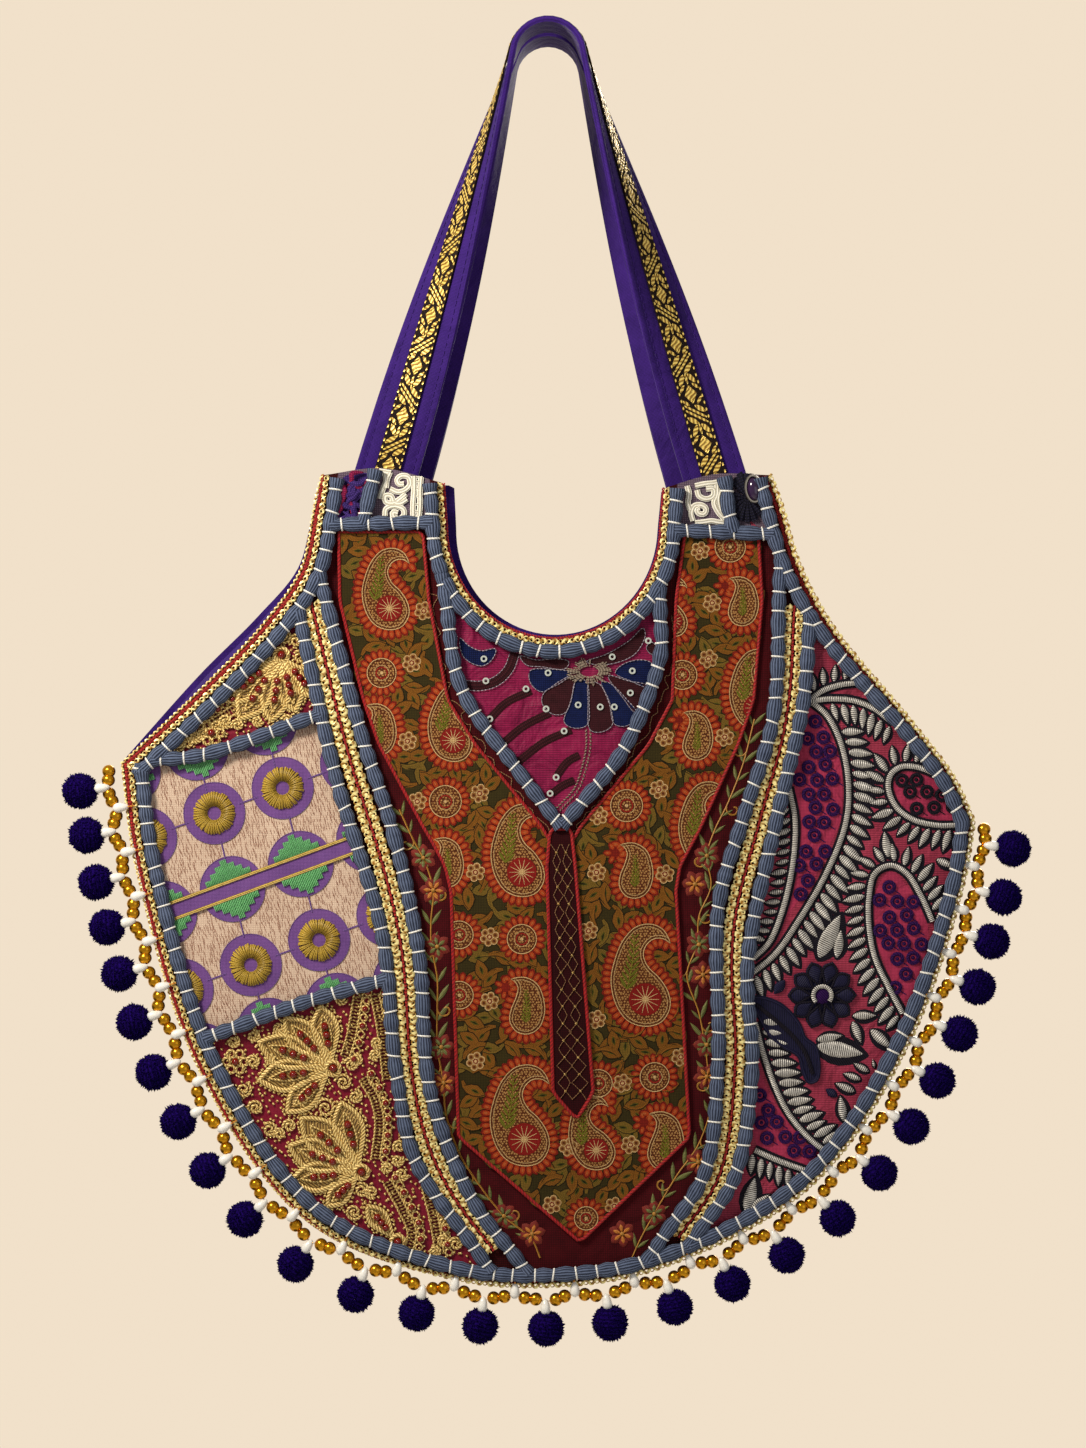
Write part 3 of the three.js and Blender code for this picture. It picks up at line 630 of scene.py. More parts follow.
def triangulated(loop, seams, spacing):
    spots = grid_inside(loop, spacing, spacing * 0.6)
    places = [Vector(p) for p in loop]
    pairs = [(i, (i + 1) % len(loop)) for i in range(len(loop))]
    owner = ["edge"] * len(loop)
    for name, line in seams.items():
        start = len(places)
        places += [Vector(p) for p in line]
        pairs += [(start + i, start + i + 1) for i in range(len(line) - 1)]
        owner += [name] * (len(line) - 1)
    places += [Vector(p) for p in spots]
    plan, made, faces, _, origins, _ = delaunay_2d_cdt(places, pairs, [], 0, 1e-4)
    walls = {}
    for pair, sources in zip(made, origins):
        names = {owner[i] for i in sources if i < len(owner)}
        if names:
            walls[tuple(sorted(pair))] = names
    return np.array([tuple(p) for p in plan]), [tuple(f) for f in faces], walls


def sheet_faces(loop, spacing):
    places, faces, _ = triangulated(loop, {}, spacing)
    good = within(places[np.array(faces)].mean(axis=1), loop)
    return places, [face for face, keep in zip(faces, good) if keep]


def sides_of(face):
    return [tuple(sorted(pair)) for pair in zip(face, face[1:] + face[:1])]


SEAMS = {
    name: extended(evenly(line, 4), CUT_PAST) for name, line in lines.items() if not name.startswith("yoke_")
}
plan, triangles, walls = triangulated(closed_loop(outline, 4), SEAMS, GRID)
centres = plan[np.array(triangles)].mean(axis=1)
beside = {}
for i, face in enumerate(triangles):
    for side in sides_of(face):
        beside.setdefault(side, []).append(i)


def cut_out(seed, seams):
    stops = set(seams) | {"edge"}
    start = int(np.argmin(np.linalg.norm(centres - seed, axis=1)))
    found = {start}
    queue = [start]
    while queue:
        for side in sides_of(triangles[queue.pop()]):
            if walls.get(side, set()) & stops:
                continue
            fresh = [t for t in beside[side] if t not in found]
            found.update(fresh)
            queue.extend(fresh)
    return [triangles[i] for i in found]


HEMS = ["rim", "neck"]
COLUMNS = ["column_left_outer", "column_left_inner", "column_right_inner", "column_right_outer"]
# Columns: node, piece, cloth, slot, a place inside the patch, its seams besides the hems.
PATCH_PLAN = [
    ("rim_trim", "rim_braid_ground", braid_ground, "gold_braid", (-209, -372), []),
    ("neck_trim", "neck_braid_ground", braid_ground, "gold_braid", (2.75, -308), []),
    ("tab_left", "lace_ground_left", mauve_net, "cotton_lace", (-83, -236), ["tab_left"]),
    ("tab_right", "lace_ground_right", mauve_net, "cotton_lace", (85, -238), ["tab_right"]),
    ("column_trim_left", "column_braid_left", braid_ground, "gold_braid", (-74, -455), COLUMNS),
    ("column_trim_right", "column_braid_right", braid_ground, "gold_braid", (92, -480), COLUMNS),
    ("patch_right", "rose_patch", rose_silk, "rose_silk", (150, -450), COLUMNS),
    ("yoke", "yoke_silk", magenta_silk, "magenta_silk", (3, -340), ["yoke"]),
    ("centre_ground", "velvet_ground", maroon_velvet, "maroon_velvet", (0, -500),
     COLUMNS + ["yoke", "tab_left", "tab_right"]),
    ("patch_left_upper", "crimson_patch_upper", crimson_silk, "goldwork", (-140, -330),
     COLUMNS + ["divider_upper"]),
    ("patch_left_middle", "cream_patch", cream_cotton, "cream_weave", (-140, -430),
     COLUMNS + ["divider_upper", "divider_lower"]),
    ("patch_left_lower", "crimson_patch_lower", crimson_silk, "goldwork", (-110, -540),
     COLUMNS + ["divider_lower"]),
]
patches = {row[0]: cut_out(row[-2], HEMS + row[-1]) for row in PATCH_PLAN}
print({name: len(faces) for name, faces in patches.items()})

# %% [markdown]
# ## Sheets of cloth
# A cut patch becomes a thin closed sheet: a front, a back and a wall round its edge. Its flat area is worked
# out from the plan.

# %% Sheets of cloth
PANEL_TOP = 2.0
PATCH_AT = 2.3
NARROWEST = 0.01


def facing(places, faces):
    tri = np.array(faces)
    a, b, c = places[tri].transpose(1, 2, 0)
    (across, up), (far, high) = b - a, c - a
    area = (across * high - up * far) / 2
    tri[area < 0] = tri[area < 0][:, [0, 2, 1]]
    return tri, float(np.abs(area).sum())


def rim_of(tri):
    pairs = [pair for face in tri.tolist() for pair in zip(face, face[1:] + face[:1])]
    seen = set(pairs)
    return [(p, q) for p, q in pairs if (q, p) not in seen]


def cloth(places, faces, low, high, paint):
    used, tri = np.unique(faces, return_inverse=True)
    spots = places[used]
    tri, area = facing(spots, tri.reshape(-1, 3))
    count = len(spots)
    p, q = np.array(rim_of(tri)).T
    wall = np.column_stack([q, p, p + count, q + count])
    points = np.vstack([on_front(spots, high), on_front(spots, low)])
    made = chunk(points, [tri, tri[:, ::-1] + count, wall], paint, np.vstack([spots, spots]))
    return made, np.ptp(spots, axis=0) * MM, area * MM * MM


def filled(loop, lift, paint, cut, spacing=5.0):
    places, faces = sheet_faces(loop, spacing)
    tri, _ = facing(places, faces)
    places = kept_inside(places, cut)
    return chunk(on_front(places, PATCH_TOP + lift), [tri], paint, places)


def patch_loop(faces):
    after = dict(rim_of(facing(plan, faces)[0]))
    loop = [next(iter(after))]
    while after[loop[-1]] != loop[0]:
        loop.append(after[loop[-1]])
    return closed_loop(plan[loop], 0.8)


def sew_patch(name, node, faces, low, high, paint, places=plan):
    made, size, area = cloth(places, faces, low, high, paint)
    piece = make_piece(name, [made], [node], crease=60)
    if node in BRAID_LONG:
        strip = BRAID_LONG[node] * MM
        size = (max(NARROWEST, area / strip), strip)


BRAID_LONG = {
    "rim_trim": run_of(edge[:, :2])[-1],
    "neck_trim": run_of(neck)[-1],
    "column_trim_left": run_of(lines["column_left_outer"])[-1],
    "column_trim_right": run_of(lines["column_right_outer"])[-1],
}
front_set = set(sum(patches.values(), []))
front_faces = [t for t in triangles if t in front_set]
sew_patch("quilted_front", "front_panel", front_faces, 0.0, PANEL_TOP, purple_cotton)
for node, name, paint, slot, _, _ in PATCH_PLAN:
    sew_patch(name, node, patches[node], PATCH_AT, PATCH_TOP, paint)

# %% [markdown]
# ## Back and gusset
# The back is one flat sheet of purple cotton. The gusset joins it to the front all round but at the neck, in
# soft lengthwise folds that show at the left shoulder of the bag.

# %% Back and gusset
BACK_INSIDE = 10
BACK_THICK = 1.5
GUSSET_INSET = 3
SEAM_GAP = 0.3
# Columns: share of the way to the back, how far the fold stands out.
GUSSET_FOLDS = [(0, 0), (0.15, 1.2), (0.3, 2.0), (0.45, 1.0), (0.6, 0.4), (0.8, 0.9), (1, 0)]
back_rise = np.linspace(0.5, 5, len(neck))
back_outline = np.vstack([
    shifted(edge, -edge[:, 3])[:, :2], right_top[1:-1], shifted(neck, -back_rise), left_top[1:-1],
])
back_plan, back_faces = sheet_faces(closed_loop(back_outline, 4), 9)
back_cloth, back_size, back_area = cloth(back_plan, back_faces, 0, BACK_THICK, purple_cotton)
half_count = len(back_cloth["points"]) // 2
back_cloth["points"][:half_count, 1] = BACK_INSIDE
back_cloth["points"][half_count:, 1] = BACK_INSIDE + BACK_THICK
plain_back = make_piece("plain_back", [back_cloth], ["back_panel"])

gusset_edge = evenly(edge, 4)
gusset_run = run_of(gusset_edge[:, :2])
rows = []
for deeper in (0, BACK_THICK):
    for at, out in GUSSET_FOLDS:
        wave = 0.6 * np.sin(np.arange(len(gusset_edge)) * 0.55 + 5 * at) * math.sin(math.pi * at)
        x, z = shifted(gusset_edge, GUSSET_INSET + deeper - out - wave - at * gusset_edge[:, 3])[:, :2].T
        front_y = inside(x, z) + 2 * SEAM_GAP
        rows.append(np.column_stack([x, front_y + (BACK_INSIDE - SEAM_GAP - front_y) * at, z]))
folds = len(GUSSET_FOLDS)
wall = np.stack(rows[:folds] + rows[folds:][::-1], axis=1)
long, sides = wall.shape[:2]
gusset_uv = np.stack(np.broadcast_arrays(np.arange(sides) * 3.0, gusset_run[:, None]), -1)
gusset_cloth = chunk(wall, tube_faces(1, long, sides), purple_cotton, gusset_uv)
gusset = make_piece("gusset_wall", [gusset_cloth], ["gusset"])

# %% [markdown]
# ## Padded cords
# Each seam is covered by a soft blue cord. White stitches couch it down about every 11 mm, and the cord is
# pinched where each one pulls. The pinch is a dip in the tube's width and height at the stitch. A cord that
# meets another is drawn on to the middle of that one, so its cut end is tucked in.

# %% Padded cords
CORD_WIDE = 7.4
CORD_HIGH = 5.8
CORD_LIFT = 0.2 + CORD_HIGH / 2
STITCH_EVERY = 10.5
PINCH_WIDE = 0.32
PINCH_HIGH = 0.34
PINCH_LONG = 2.8
TUCK = 14


def padded_cord(line):
    line = evenly(line, 1.1)
    lengths = run_of(line)
    stitches = max(1, int(lengths[-1] / STITCH_EVERY))
    at = (np.arange(stitches) + 0.5 + rng.uniform(-0.13, 0.13, stitches)) * lengths[-1] / stitches
    pull = np.exp(-np.abs((lengths[:, None] - at) / PINCH_LONG) ** 1.6).max(axis=1)
    lumps = 1 + 0.04 * np.sin(lengths / 3.1) * np.sin(lengths / 1.7)
    wide = CORD_WIDE * (1.1 - PINCH_WIDE * pull) * lumps
    high = CORD_HIGH * (1.08 - PINCH_HIGH * pull) * lumps
    cord = couched(line, wide, high, CORD_LIFT, blue_yarn, 12)
    spots, side, wide, high = (picked(at, lengths, rows) for rows in (line, sideways(line), wide, high))
    ahead = np.column_stack([side[:, 1], -side[:, 0]])
    around = np.linspace(-0.35, math.pi + 0.35, 10)
    reach = (wide / 2 + 0.2) * np.cos(around)
    rise = (high / 2 + 0.2) * np.sin(around)
    lean = rng.uniform(-0.22, 0.22, stitches)[:, None] * reach
    over = spots[:, None] + side[:, None] * reach[..., None] + ahead[:, None] * lean[..., None]
    x, z = np.moveaxis(over, -1, 0)
    y = inside(spots[:, 0], spots[:, 1])[:, None] - PATCH_TOP - CORD_LIFT - rise
    return [cord, strands(np.stack([x, y, z], -1), 1.0, 0.8, white_thread, 5)]


def tucked(name):
    line = evenly(lines[name], 1.0)
    others = np.vstack([row for key, row in lines.items() if key not in (name, "yoke")])
    ends = []
    for tip, before in ((line[0], line[2]), (line[-1], line[-3])):
        spots = tip + unit(tip - before) * np.arange(0, TUCK, 0.5)[:, None]
        ends.append(spots[: gaps_to(spots, others).min(axis=1).argmin() + 1])
    return np.vstack([ends[0][:0:-1], line, ends[1][1:]])


# Columns: piece, node, lines that the cord follows.
CORD_PIECES = [
    ("rim_cord", "cord_rim", ["rim"]),
    ("neck_cord", "cord_neck", ["neck", "tab_left", "tab_right"]),
    ("left_outer_cord", "cord_column_left_outer", ["column_left_outer"]),
    ("left_inner_cord", "cord_column_left_inner", ["column_left_inner"]),
    ("right_inner_cord", "cord_column_right_inner", ["column_right_inner"]),
    ("right_outer_cord", "cord_column_right_outer", ["column_right_outer"]),
    ("yoke_cord", "cord_yoke", ["yoke_left", "yoke_right"]),
    ("upper_divider_cord", "cord_divider_upper", ["divider_upper"]),
    ("lower_divider_cord", "cord_divider_lower", ["divider_lower"]),
]
for name, node, parts in CORD_PIECES:
    runs = [lines[part] if part in HEMS else tucked(part) for part in parts]
    make_piece(name, [made for run in runs for made in padded_cord(run)], [node])

# %% [markdown]
# ## Straps
# Each strap is a doubled cotton band. It leaves the pouch flat to the front, turns edge-on as it rises and
# crosses the rod. A frame that turns steadily along the path carries the band, its stitching and the gilt
# ribbon.

# %% Straps
STRAP_THICK = 3.0
ROD_RADIUS = 16
STRAP_SIDE = 19
STRAP_STEP = 3.0
STITCH_MARGIN = 20
STITCH_STEP = 4.2
STITCH_LINE = 12.2
STRAPS = {
    "front": {"left": -79.5, "right": 81.5, "z": -217, "tuck": 24, "side": -1},
    "back": {"left": -72.5, "right": 73, "z": -217, "tuck": 24, "side": 1},
}


def strap_frame(strap):
    reach = ROD_RADIUS + STRAP_THICK / 2
    rod = np.array([0.0, -ROD_RADIUS])
    low_y = strap["side"] * (BACK_INSIDE - SEAM_GAP - STRAP_THICK / 2)
    rod_y = strap["side"] * STRAP_SIDE
    legs = []
    for x, hand in ((strap["left"], -1), (strap["right"], 1)):
        tab = np.array([x, strap["z"]])
        away = rod - tab
        way = turned(unit(away), (0, 0), -hand * math.asin(reach / np.linalg.norm(away)))
        rise = math.sqrt(away @ away - reach**2)
        hidden = np.linspace(-strap["tuck"], 0, 8, endpoint=False)
        t = np.append(hidden, np.linspace(0, rise, int(rise / STRAP_STEP)))
        share = np.clip(t / rise, 0, 1)
        ways = np.broadcast_to(way, (len(t), 2))
        legs.append((tab + way * t[:, None], ways, share * math.pi / 2, low_y + (rod_y - low_y) * share))
    first, last = (leg[0][-1] - rod for leg in legs)
    arc = np.linspace(math.atan2(first[1], first[0]), math.atan2(last[1], last[0]), 24)[1:-1]
    over = polar(arc) * reach + rod
    way = np.column_stack([np.sin(arc), -np.cos(arc)])
    bend = (over, way, np.full(len(arc), math.pi / 2), np.full(len(arc), rod_y))
    back = (legs[1][0][::-1], -legs[1][1][::-1], legs[1][2][::-1], legs[1][3][::-1])
    place, way, twist, y = (np.concatenate(parts) for parts in zip(legs[0], bend, back))
    middle = np.column_stack([place[:, 0], y, place[:, 1]])
    along = np.column_stack([way[:, 0], 0 * y, way[:, 1]])
    across = np.column_stack([way[:, 1], 0 * y, -way[:, 0]]) * np.cos(twist)[:, None]
    across[:, 1] = strap["side"] * np.sin(twist)
    out = np.cross(across, along) * -strap["side"]
    return {"middle": middle, "across": across, "out": out, "s": run_of(middle), "side": strap["side"]}


def on_strap(band, s, t, height):
    s, t, height = np.broadcast_arrays(s, t, height)
    middle, across, out = (
        picked(s.ravel(), band["s"], band[key]).reshape(*s.shape, 3) for key in ("middle", "across", "out")
    )
    return middle + across * t[..., None] + out * height[..., None], out


def strap_strip(band, s, profile, paint):
    t, height = np.array(profile).T
    points, _ = on_strap(band, s[:, None], t, height)
    faces = tube_faces(1, len(s), len(t))
    if band["side"] > 0:
        faces = [block[:, ::-1] for block in faces]
    return chunk(points, faces, paint, np.stack(np.broadcast_arrays(t, s[:, None]), -1))


def strap_stitches(band, t):
    starts = np.arange(STITCH_MARGIN, band["s"][-1] - STITCH_MARGIN, STITCH_STEP)
    paths, out = on_strap(band, starts[:, None] + np.linspace(0, 2.6, 4), t, STRAP_THICK / 2)
    return strands(paths, 0.6, 0.4, purple_cotton, 4, up=out)


# Columns: place across the band, height over its middle.
HALF_BAND = [
    (15.75, 0.0), (15.5, 1.2), (14.6, 1.55), (13.0, 1.45), (STITCH_LINE, 1.15), (11.4, 1.45), (8.5, 1.5),
    (6.5, 1.3),
]
BAND_UNDER = [(15.0, -1.5), (0, -1.5), (-15.0, -1.5)]
band_profile = [(-t, height) for t, height in HALF_BAND] + [(0, 1.35)] + HALF_BAND[::-1] + BAND_UNDER
bands = {name: strap_frame(strap) for name, strap in STRAPS.items()}
for name, band in bands.items():
    chunks = [strap_strip(band, evenly(band["s"][:, None], 4)[:, 0], band_profile, purple_cotton)]
    chunks += [strap_stitches(band, t) for t in (-STITCH_LINE, STITCH_LINE)]
    strap = make_piece(name + "_band", chunks, [name + "_strap"])

# %% [markdown]
# ## Gilt ribbon
# A brocade ribbon runs up the middle of the front strap. On its black ground lie gilt diamonds, leaves and
# slanting bars, with gilt dots along both edges. Each is a flat strand placed in the strap's own frame, so it
# turns with the strap, and the table holds one repeat. Every second repeat is mirrored.

# %% Gilt ribbon
RIBBON_HALF = 6.25
RIBBON_AT = 1.75
RIBBON_TOP = 2.6
DOTS_AT = 5.7
BROCADE_REPEAT = 26.0
ribbon_dark = woven("black brocade thread", "#0c0608", "#2a1a12", 0.8, 0.8, 0.1)
ribbon_gold = spun("gilt brocade weave", "#8e6416", "#fbdc74", 1.2, 0.36, 0.25, 0.3)
# Columns: from_s, from_t, to_s, to_t, wide, taper.
BROCADE = [
    (0.0, 0.0, 9.4, 0.0, 9.0, "diamond"), (-0.6, 2.2, 2.6, 5.0, 2.2, "leaf"),
    (-0.6, -2.2, 2.6, -5.0, 2.2, "leaf"), (6.8, 5.0, 10.0, 2.2, 2.2, "leaf"),
    (6.8, -5.0, 10.0, -2.2, 2.2, "leaf"), (9.4, -4.8, 17.8, 4.8, 1.5, "bar"),
    (11.9, -4.8, 20.3, 4.8, 1.5, "bar"), (10.4, 0.4, 14.8, 4.9, 3.4, "leaf"),
    (15.4, -4.9, 20.0, 0.0, 3.4, "leaf"), (20.2, 1.2, 25.4, 4.2, 3.4, "leaf"),
    (20.2, -1.2, 25.4, -4.2, 3.4, "leaf"), (19.8, 0.0, 25.4, 0.0, 1.8, "leaf"),
]
stroke = np.linspace(0, 1, 7)
TAPER = {
    "bar": np.array([0.6, 1, 1, 1, 1, 1, 0.6]),
    "leaf": np.sin(math.pi * (0.05 + 0.9 * stroke)) ** 0.8,
    "diamond": 1 - 0.92 * np.abs(2 * stroke - 1),
}
front_band = bands["front"]
ribbon_start = STRAPS["front"]["tuck"] - 8
ribbon_s = np.arange(ribbon_start, front_band["s"][-1] - ribbon_start, 2.5)


def brocade(s, t, wide):
    path, out = on_strap(front_band, s, t, RIBBON_TOP)
    return strands(path, wide, 0.5, ribbon_gold, 4, up=out)


half_ribbon = [(RIBBON_HALF, RIBBON_TOP), (RIBBON_HALF, RIBBON_AT)]
ribbon_profile = [(-t, height) for t, height in half_ribbon[::-1]] + half_ribbon
ribbon_work = [strap_strip(front_band, ribbon_s, ribbon_profile, ribbon_dark)]
starts = np.arange(ribbon_s[0] + 2, ribbon_s[-1], BROCADE_REPEAT)
mirror = np.where(np.arange(len(starts)) % 2, -1, 1)
for from_s, from_t, to_s, to_t, wide, taper in BROCADE:
    s = starts[:, None] + from_s + (to_s - from_s) * stroke
    t = mirror[:, None] * (from_t + (to_t - from_t) * stroke)
    ribbon_work.append(brocade(np.minimum(s, ribbon_s[-1] + 0.1 * stroke), t, wide * TAPER[taper]))
dots = np.arange(ribbon_s[0], ribbon_s[-1] - 2, 3.6)
for t in (-DOTS_AT, DOTS_AT):
    ribbon_work.append(brocade(np.stack([dots, dots + 1.6], 1), t, 1.0))
make_piece("gilt_ribbon", ribbon_work, ["strap_ribbon"])

# %% [markdown]
# ## Gilt zigzag braid
# The rim, the neck and both columns are trimmed with gilt zigzag braid on either side of a dark red plait. A
# zigzag is a flat thread on a sine line, and the plait is two such threads that cross.

# %% Gilt zigzag braid
BRAID_LIFT = 2.0
EDGE_LIFT = 0.8
COLUMN_AT = 2.9
COLUMN_WIDE = 5.2
ZIGZAG_EVERY = 5.6


def zigzag(line, offset, swing, every, wide, high, paint, low, phase=0.0, sides=5):
    line = evenly(line, every / 6)
    s = np.arange(len(line)) * every / 6
    offset = np.atleast_1d(offset)
    offset = np.interp(np.linspace(0, 1, len(line)), np.linspace(0, 1, len(offset)), offset)
    swung = shifted(line[:, :2], offset + swing * np.sin(2 * math.pi * s / every + phase))
    lift = low + high / 2 + 0.25 * np.cos(4 * math.pi * s / every)
    return couched(swung, wide, high, lift, paint, sides)


def plait(line, offset, swing, every, wide, paint, low):
    return [zigzag(line, offset, swing, every, wide, 0.8, paint, low, phase, 4) for phase in (0, math.pi)]


def gilt_zigzag(line, offset, wide, lift):
    swing = 0.3 * wide
    return [
        zigzag(line, offset, swing, ZIGZAG_EVERY, 0.44 * wide, 1.2, gilt_braid, lift),
        zigzag(line, offset, swing, ZIGZAG_EVERY, 0.16 * wide, 0.8, gilt_braid, lift + 0.5, math.pi),
    ]


def column_middle(*names):
    t = np.linspace(0, 1, 120)
    sides = [evenly(lines[name], 3) for name in names]
    return sum(picked(t, np.linspace(0, 1, len(side)), side) for side in sides) / 2


for name, outer, inner in (("left", *COLUMNS[:2]), ("right", COLUMNS[3], COLUMNS[2])):
    middle = column_middle(outer, inner)
    chunks = []
    for offset in (-COLUMN_AT, COLUMN_AT):
        chunks += gilt_zigzag(middle, offset, COLUMN_WIDE, BRAID_LIFT)
    chunks += plait(middle, 0, 0.4, 3.4, 0.9, red_braid, BRAID_LIFT - 0.3)
    make_piece("column_zigzag_" + name, chunks)

free = edge[:, 2] - CORD_WIDE / 2
right_share = np.clip(1 + edge[:, 0] / 120, 0, 1)
gold_at = (free - 1.6) * (1 - right_share) - 0.4 * right_share
red_at = (free - 4.0) * (1 - right_share) + 2.0 * right_share
rim_rows = gilt_zigzag(edge, gold_at, 3.6, EDGE_LIFT)
rim_rows += plait(edge, red_at, 0.6, 3.4, 1.3, red_braid, -0.3)
on_left = edge[:, 0] < -60
left_at = np.maximum(free[on_left] - 5.8, -0.9)
rim_rows.append(zigzag(edge[on_left], left_at, 0.4, 2.8, 1.1, 1.0, gilt_braid, -0.3))
make_piece("rim_zigzag", rim_rows)
neck_rows = gilt_zigzag(neck, 1.7, 4.2, EDGE_LIFT)
neck_rows += plait(neck, -0.2, 0.6, 3.0, 1.0, red_braid, -0.5)
make_piece("neck_zigzag", neck_rows)

# %% [markdown]
# ## Printed panel
# The olive cotton lies over the velvet like a long collar. It is cut to its own outline, and red piping is
# sewn round it. Its corners are crisp, so the outline is straight between its measured places.

# %% Printed panel
PRINT_AT = 3.8
PRINT_TOP = 4.8
PRINT_LIFT = PRINT_TOP - PATCH_TOP
PIPING = 1.8
# Columns: z, outer left, inner left, inner right, outer right.
PRINT_ROWS = [
    (-251.5, -104.5, -62.5, 68.5, 105), (-285.5, -104, -59.5, 64, 107), (-335.5, -92, -50, 62, 102.5),
    (-358, -84, -36, 50, 94.5), (-398.5, -62, -3, 16, 76), (-406, -57.5, 1, 12, 72),
]
# Columns: z, left, right.
PRINT_LOW = [(-418, -51, 65.5), (-430.5, -48, 63.5), (-553, -44.5, 70.5)]
PRINT_POINT = (16, -606)
# Columns: x, z.
PLACKET = [
    (1, -399.5), (11.5, -399.5), (13.5, -418), (22.5, -530.5), (14.2, -544), (2.5, -530.5), (-0.5, -418),
]


def piping(loop, lift):
    return couched(closed_loop(loop, 1.5), PIPING, PIPING, lift, red_piping, 7, closed=True)


left_side = [(row[1], row[0]) for row in PRINT_ROWS + PRINT_LOW]
right_side = [(row[-1], row[0]) for row in PRINT_ROWS + PRINT_LOW]
inner = [(row[3], row[0]) for row in PRINT_ROWS] + [(row[2], row[0]) for row in PRINT_ROWS[::-1]]
print_loop = closed_loop(np.array(left_side + [PRINT_POINT] + right_side[::-1] + inner), 4)
placket_loop = closed_loop(np.array(PLACKET, float)[::-1], 4)
print_places, print_faces = sheet_faces(print_loop, GRID)
sew_patch("olive_panel", "print_panel", print_faces, PRINT_AT, PRINT_TOP, olive_cotton,
          print_places)

# %% [markdown]
# ## Printing inks
# Block print is ink on cloth, so every motif keeps the weave. The ochre scroll is printed first and the
# paisleys over it. Motifs are thin shapes, each a few hundredths of a millimetre above the last, and any
# point past the panel's edge moves to the edge, which cuts the motif off as scissors would.

# %% Printing inks
INK = {
    name: woven(name + " ink on cotton", dark, light, 0.8, 0.85, 0.08)
    for name, dark, light in (
        ("ochre", "#58370c", "#865418"), ("gold olive", "#503e14", "#7a5e20"),
        ("shade", "#120e04", "#221a08"),
        ("rust", "#540f08", "#841e10"), ("orange", "#84280e", "#ae4418"), ("apricot", "#8e421c", "#ae5c30"),
        ("umber", "#421c0c", "#603014"), ("tan", "#6c451e", "#986834"), ("cream", "#926e42", "#d6b682"),
        ("leaf green", "#303408", "#585216"), ("red", "#5c0c0a", "#921c16"), ("plume", "#40460e", "#78721e"),
        ("stipple", "#7c5428", "#bc8e56"),
    )
}
INK_STEP = 0.06
print_edge = closed_loop(print_loop, 0.7)


def ink(level):
    return PRINT_LIFT + INK_STEP * (level + 1)


def printed(shape, at, level, tone, angle=0.0, size=1.0):
    return copies(shape, at, ink(level), 0.0, INK[tone], angle, size, cut=print_edge)


def flooded(loop, level, tone):
    return filled(loop, ink(level), INK[tone], print_edge)


def traced(line, wide, level, tone, closed=True):
    return couched(line, wide, 0.12, ink(level), INK[tone], 4, print_edge, closed)


print("inks", len(INK))

# %% [markdown]
# ## Ochre scroll
# Curling branches with paired leaves cover the whole panel. A branch is a run of short steps whose heading
# turns steadily, and a dark copy under each one gives it an outline.

# %% Ochre scroll
SCROLL_LAYERS = ["gold olive", "ochre", "ochre"]
STEM_WIDE = [1.8, 3.2, 3.9, 3.4, 2.4, 1.2]
# Columns: length, width, start, level, ink or None for the ink of the layer, points on a side.
SCROLL_LEAF = [
    (12.6, 7.2, -0.5, 0.1, "shade", 6), (11.6, 6.2, 0.0, 0.5, None, 6), (4.8, 1.9, 3.6, 0.7, "leaf green", 4),
    (3.4, 0.8, 4.4, 0.8, "shade", 4),
]


def scroll():
    made = []
    everywhere = grid_inside(print_edge, 11.0, 0.5)
    everywhere = everywhere + rng.normal(0, 0.9, everywhere.shape)
    t = np.linspace(0, 1, len(STEM_WIDE))
    for number, shade in enumerate(SCROLL_LAYERS):
        spots = everywhere[number :: len(SCROLL_LAYERS)]
        heading = rng.uniform(0, 2 * math.pi, len(spots))
        curve = rng.choice([-1.0, 1.0], len(spots))
        paths = np.cumsum(polar(heading[:, None] + curve[:, None] * t * 1.7) * 2.9, axis=1)
        paths += (spots - paths.mean(axis=1))[:, None]
        base = 0.85 * number
        for level, tone, more in ((0, "shade", 0.9), (0.3, shade, 0.0)):
            wide = np.array(STEM_WIDE) + more
            made.append(couched(paths, wide, 0.02, ink(base + level), INK[tone], 4, print_edge))
        for foot, side in ((1, 1.1), (4, -1.0)):
            angle = heading + curve * side
            for long, wide, start, level, tone, count in SCROLL_LEAF:
                at = paths[:, foot] + polar(angle) * start
                made.append(printed(leaf(long, wide, count=count), at, base + level, tone or shade, angle))
    return made


inks = scroll()
print("scroll", len(inks), "layers of ink")

# %% [markdown]
# ## Paisleys and flowers
# Paisleys, rosettes and small flowers are printed over the scroll, most with a scalloped border. The dots
# that fill them stand on a shaken grid, so they look cut by hand.

# %% Paisleys and flowers
# Columns of both shapes: x and z as shares of the height.
BIG_SHAPE = [
    (0.29, 0.304), (0.232, 0.435), (0.116, 0.499), (-0.043, 0.478), (-0.174, 0.348), (-0.261, 0.145),
    (-0.296, -0.058), (-0.246, -0.29), (-0.13, -0.449), (0.043, -0.507), (0.203, -0.464), (0.29, -0.319),
    (0.275, -0.174), (0.188, -0.029), (0.072, 0.087), (0.029, 0.203), (0.058, 0.29), (0.13, 0.348),
    (0.217, 0.348),
]
SMALL_SHAPE = [
    (-0.255, 0.47), (-0.02, 0.51), (0.196, 0.392), (0.306, 0.118), (0.314, -0.118), (0.216, -0.353),
    (0.039, -0.451), (-0.157, -0.412), (-0.275, -0.235), (-0.255, -0.04), (-0.176, 0.157), (-0.137, 0.333),
    (-0.196, 0.431),
]
DISC_AT = (0.043, -0.238)
PLUME_AT = (-0.1, 0.11)
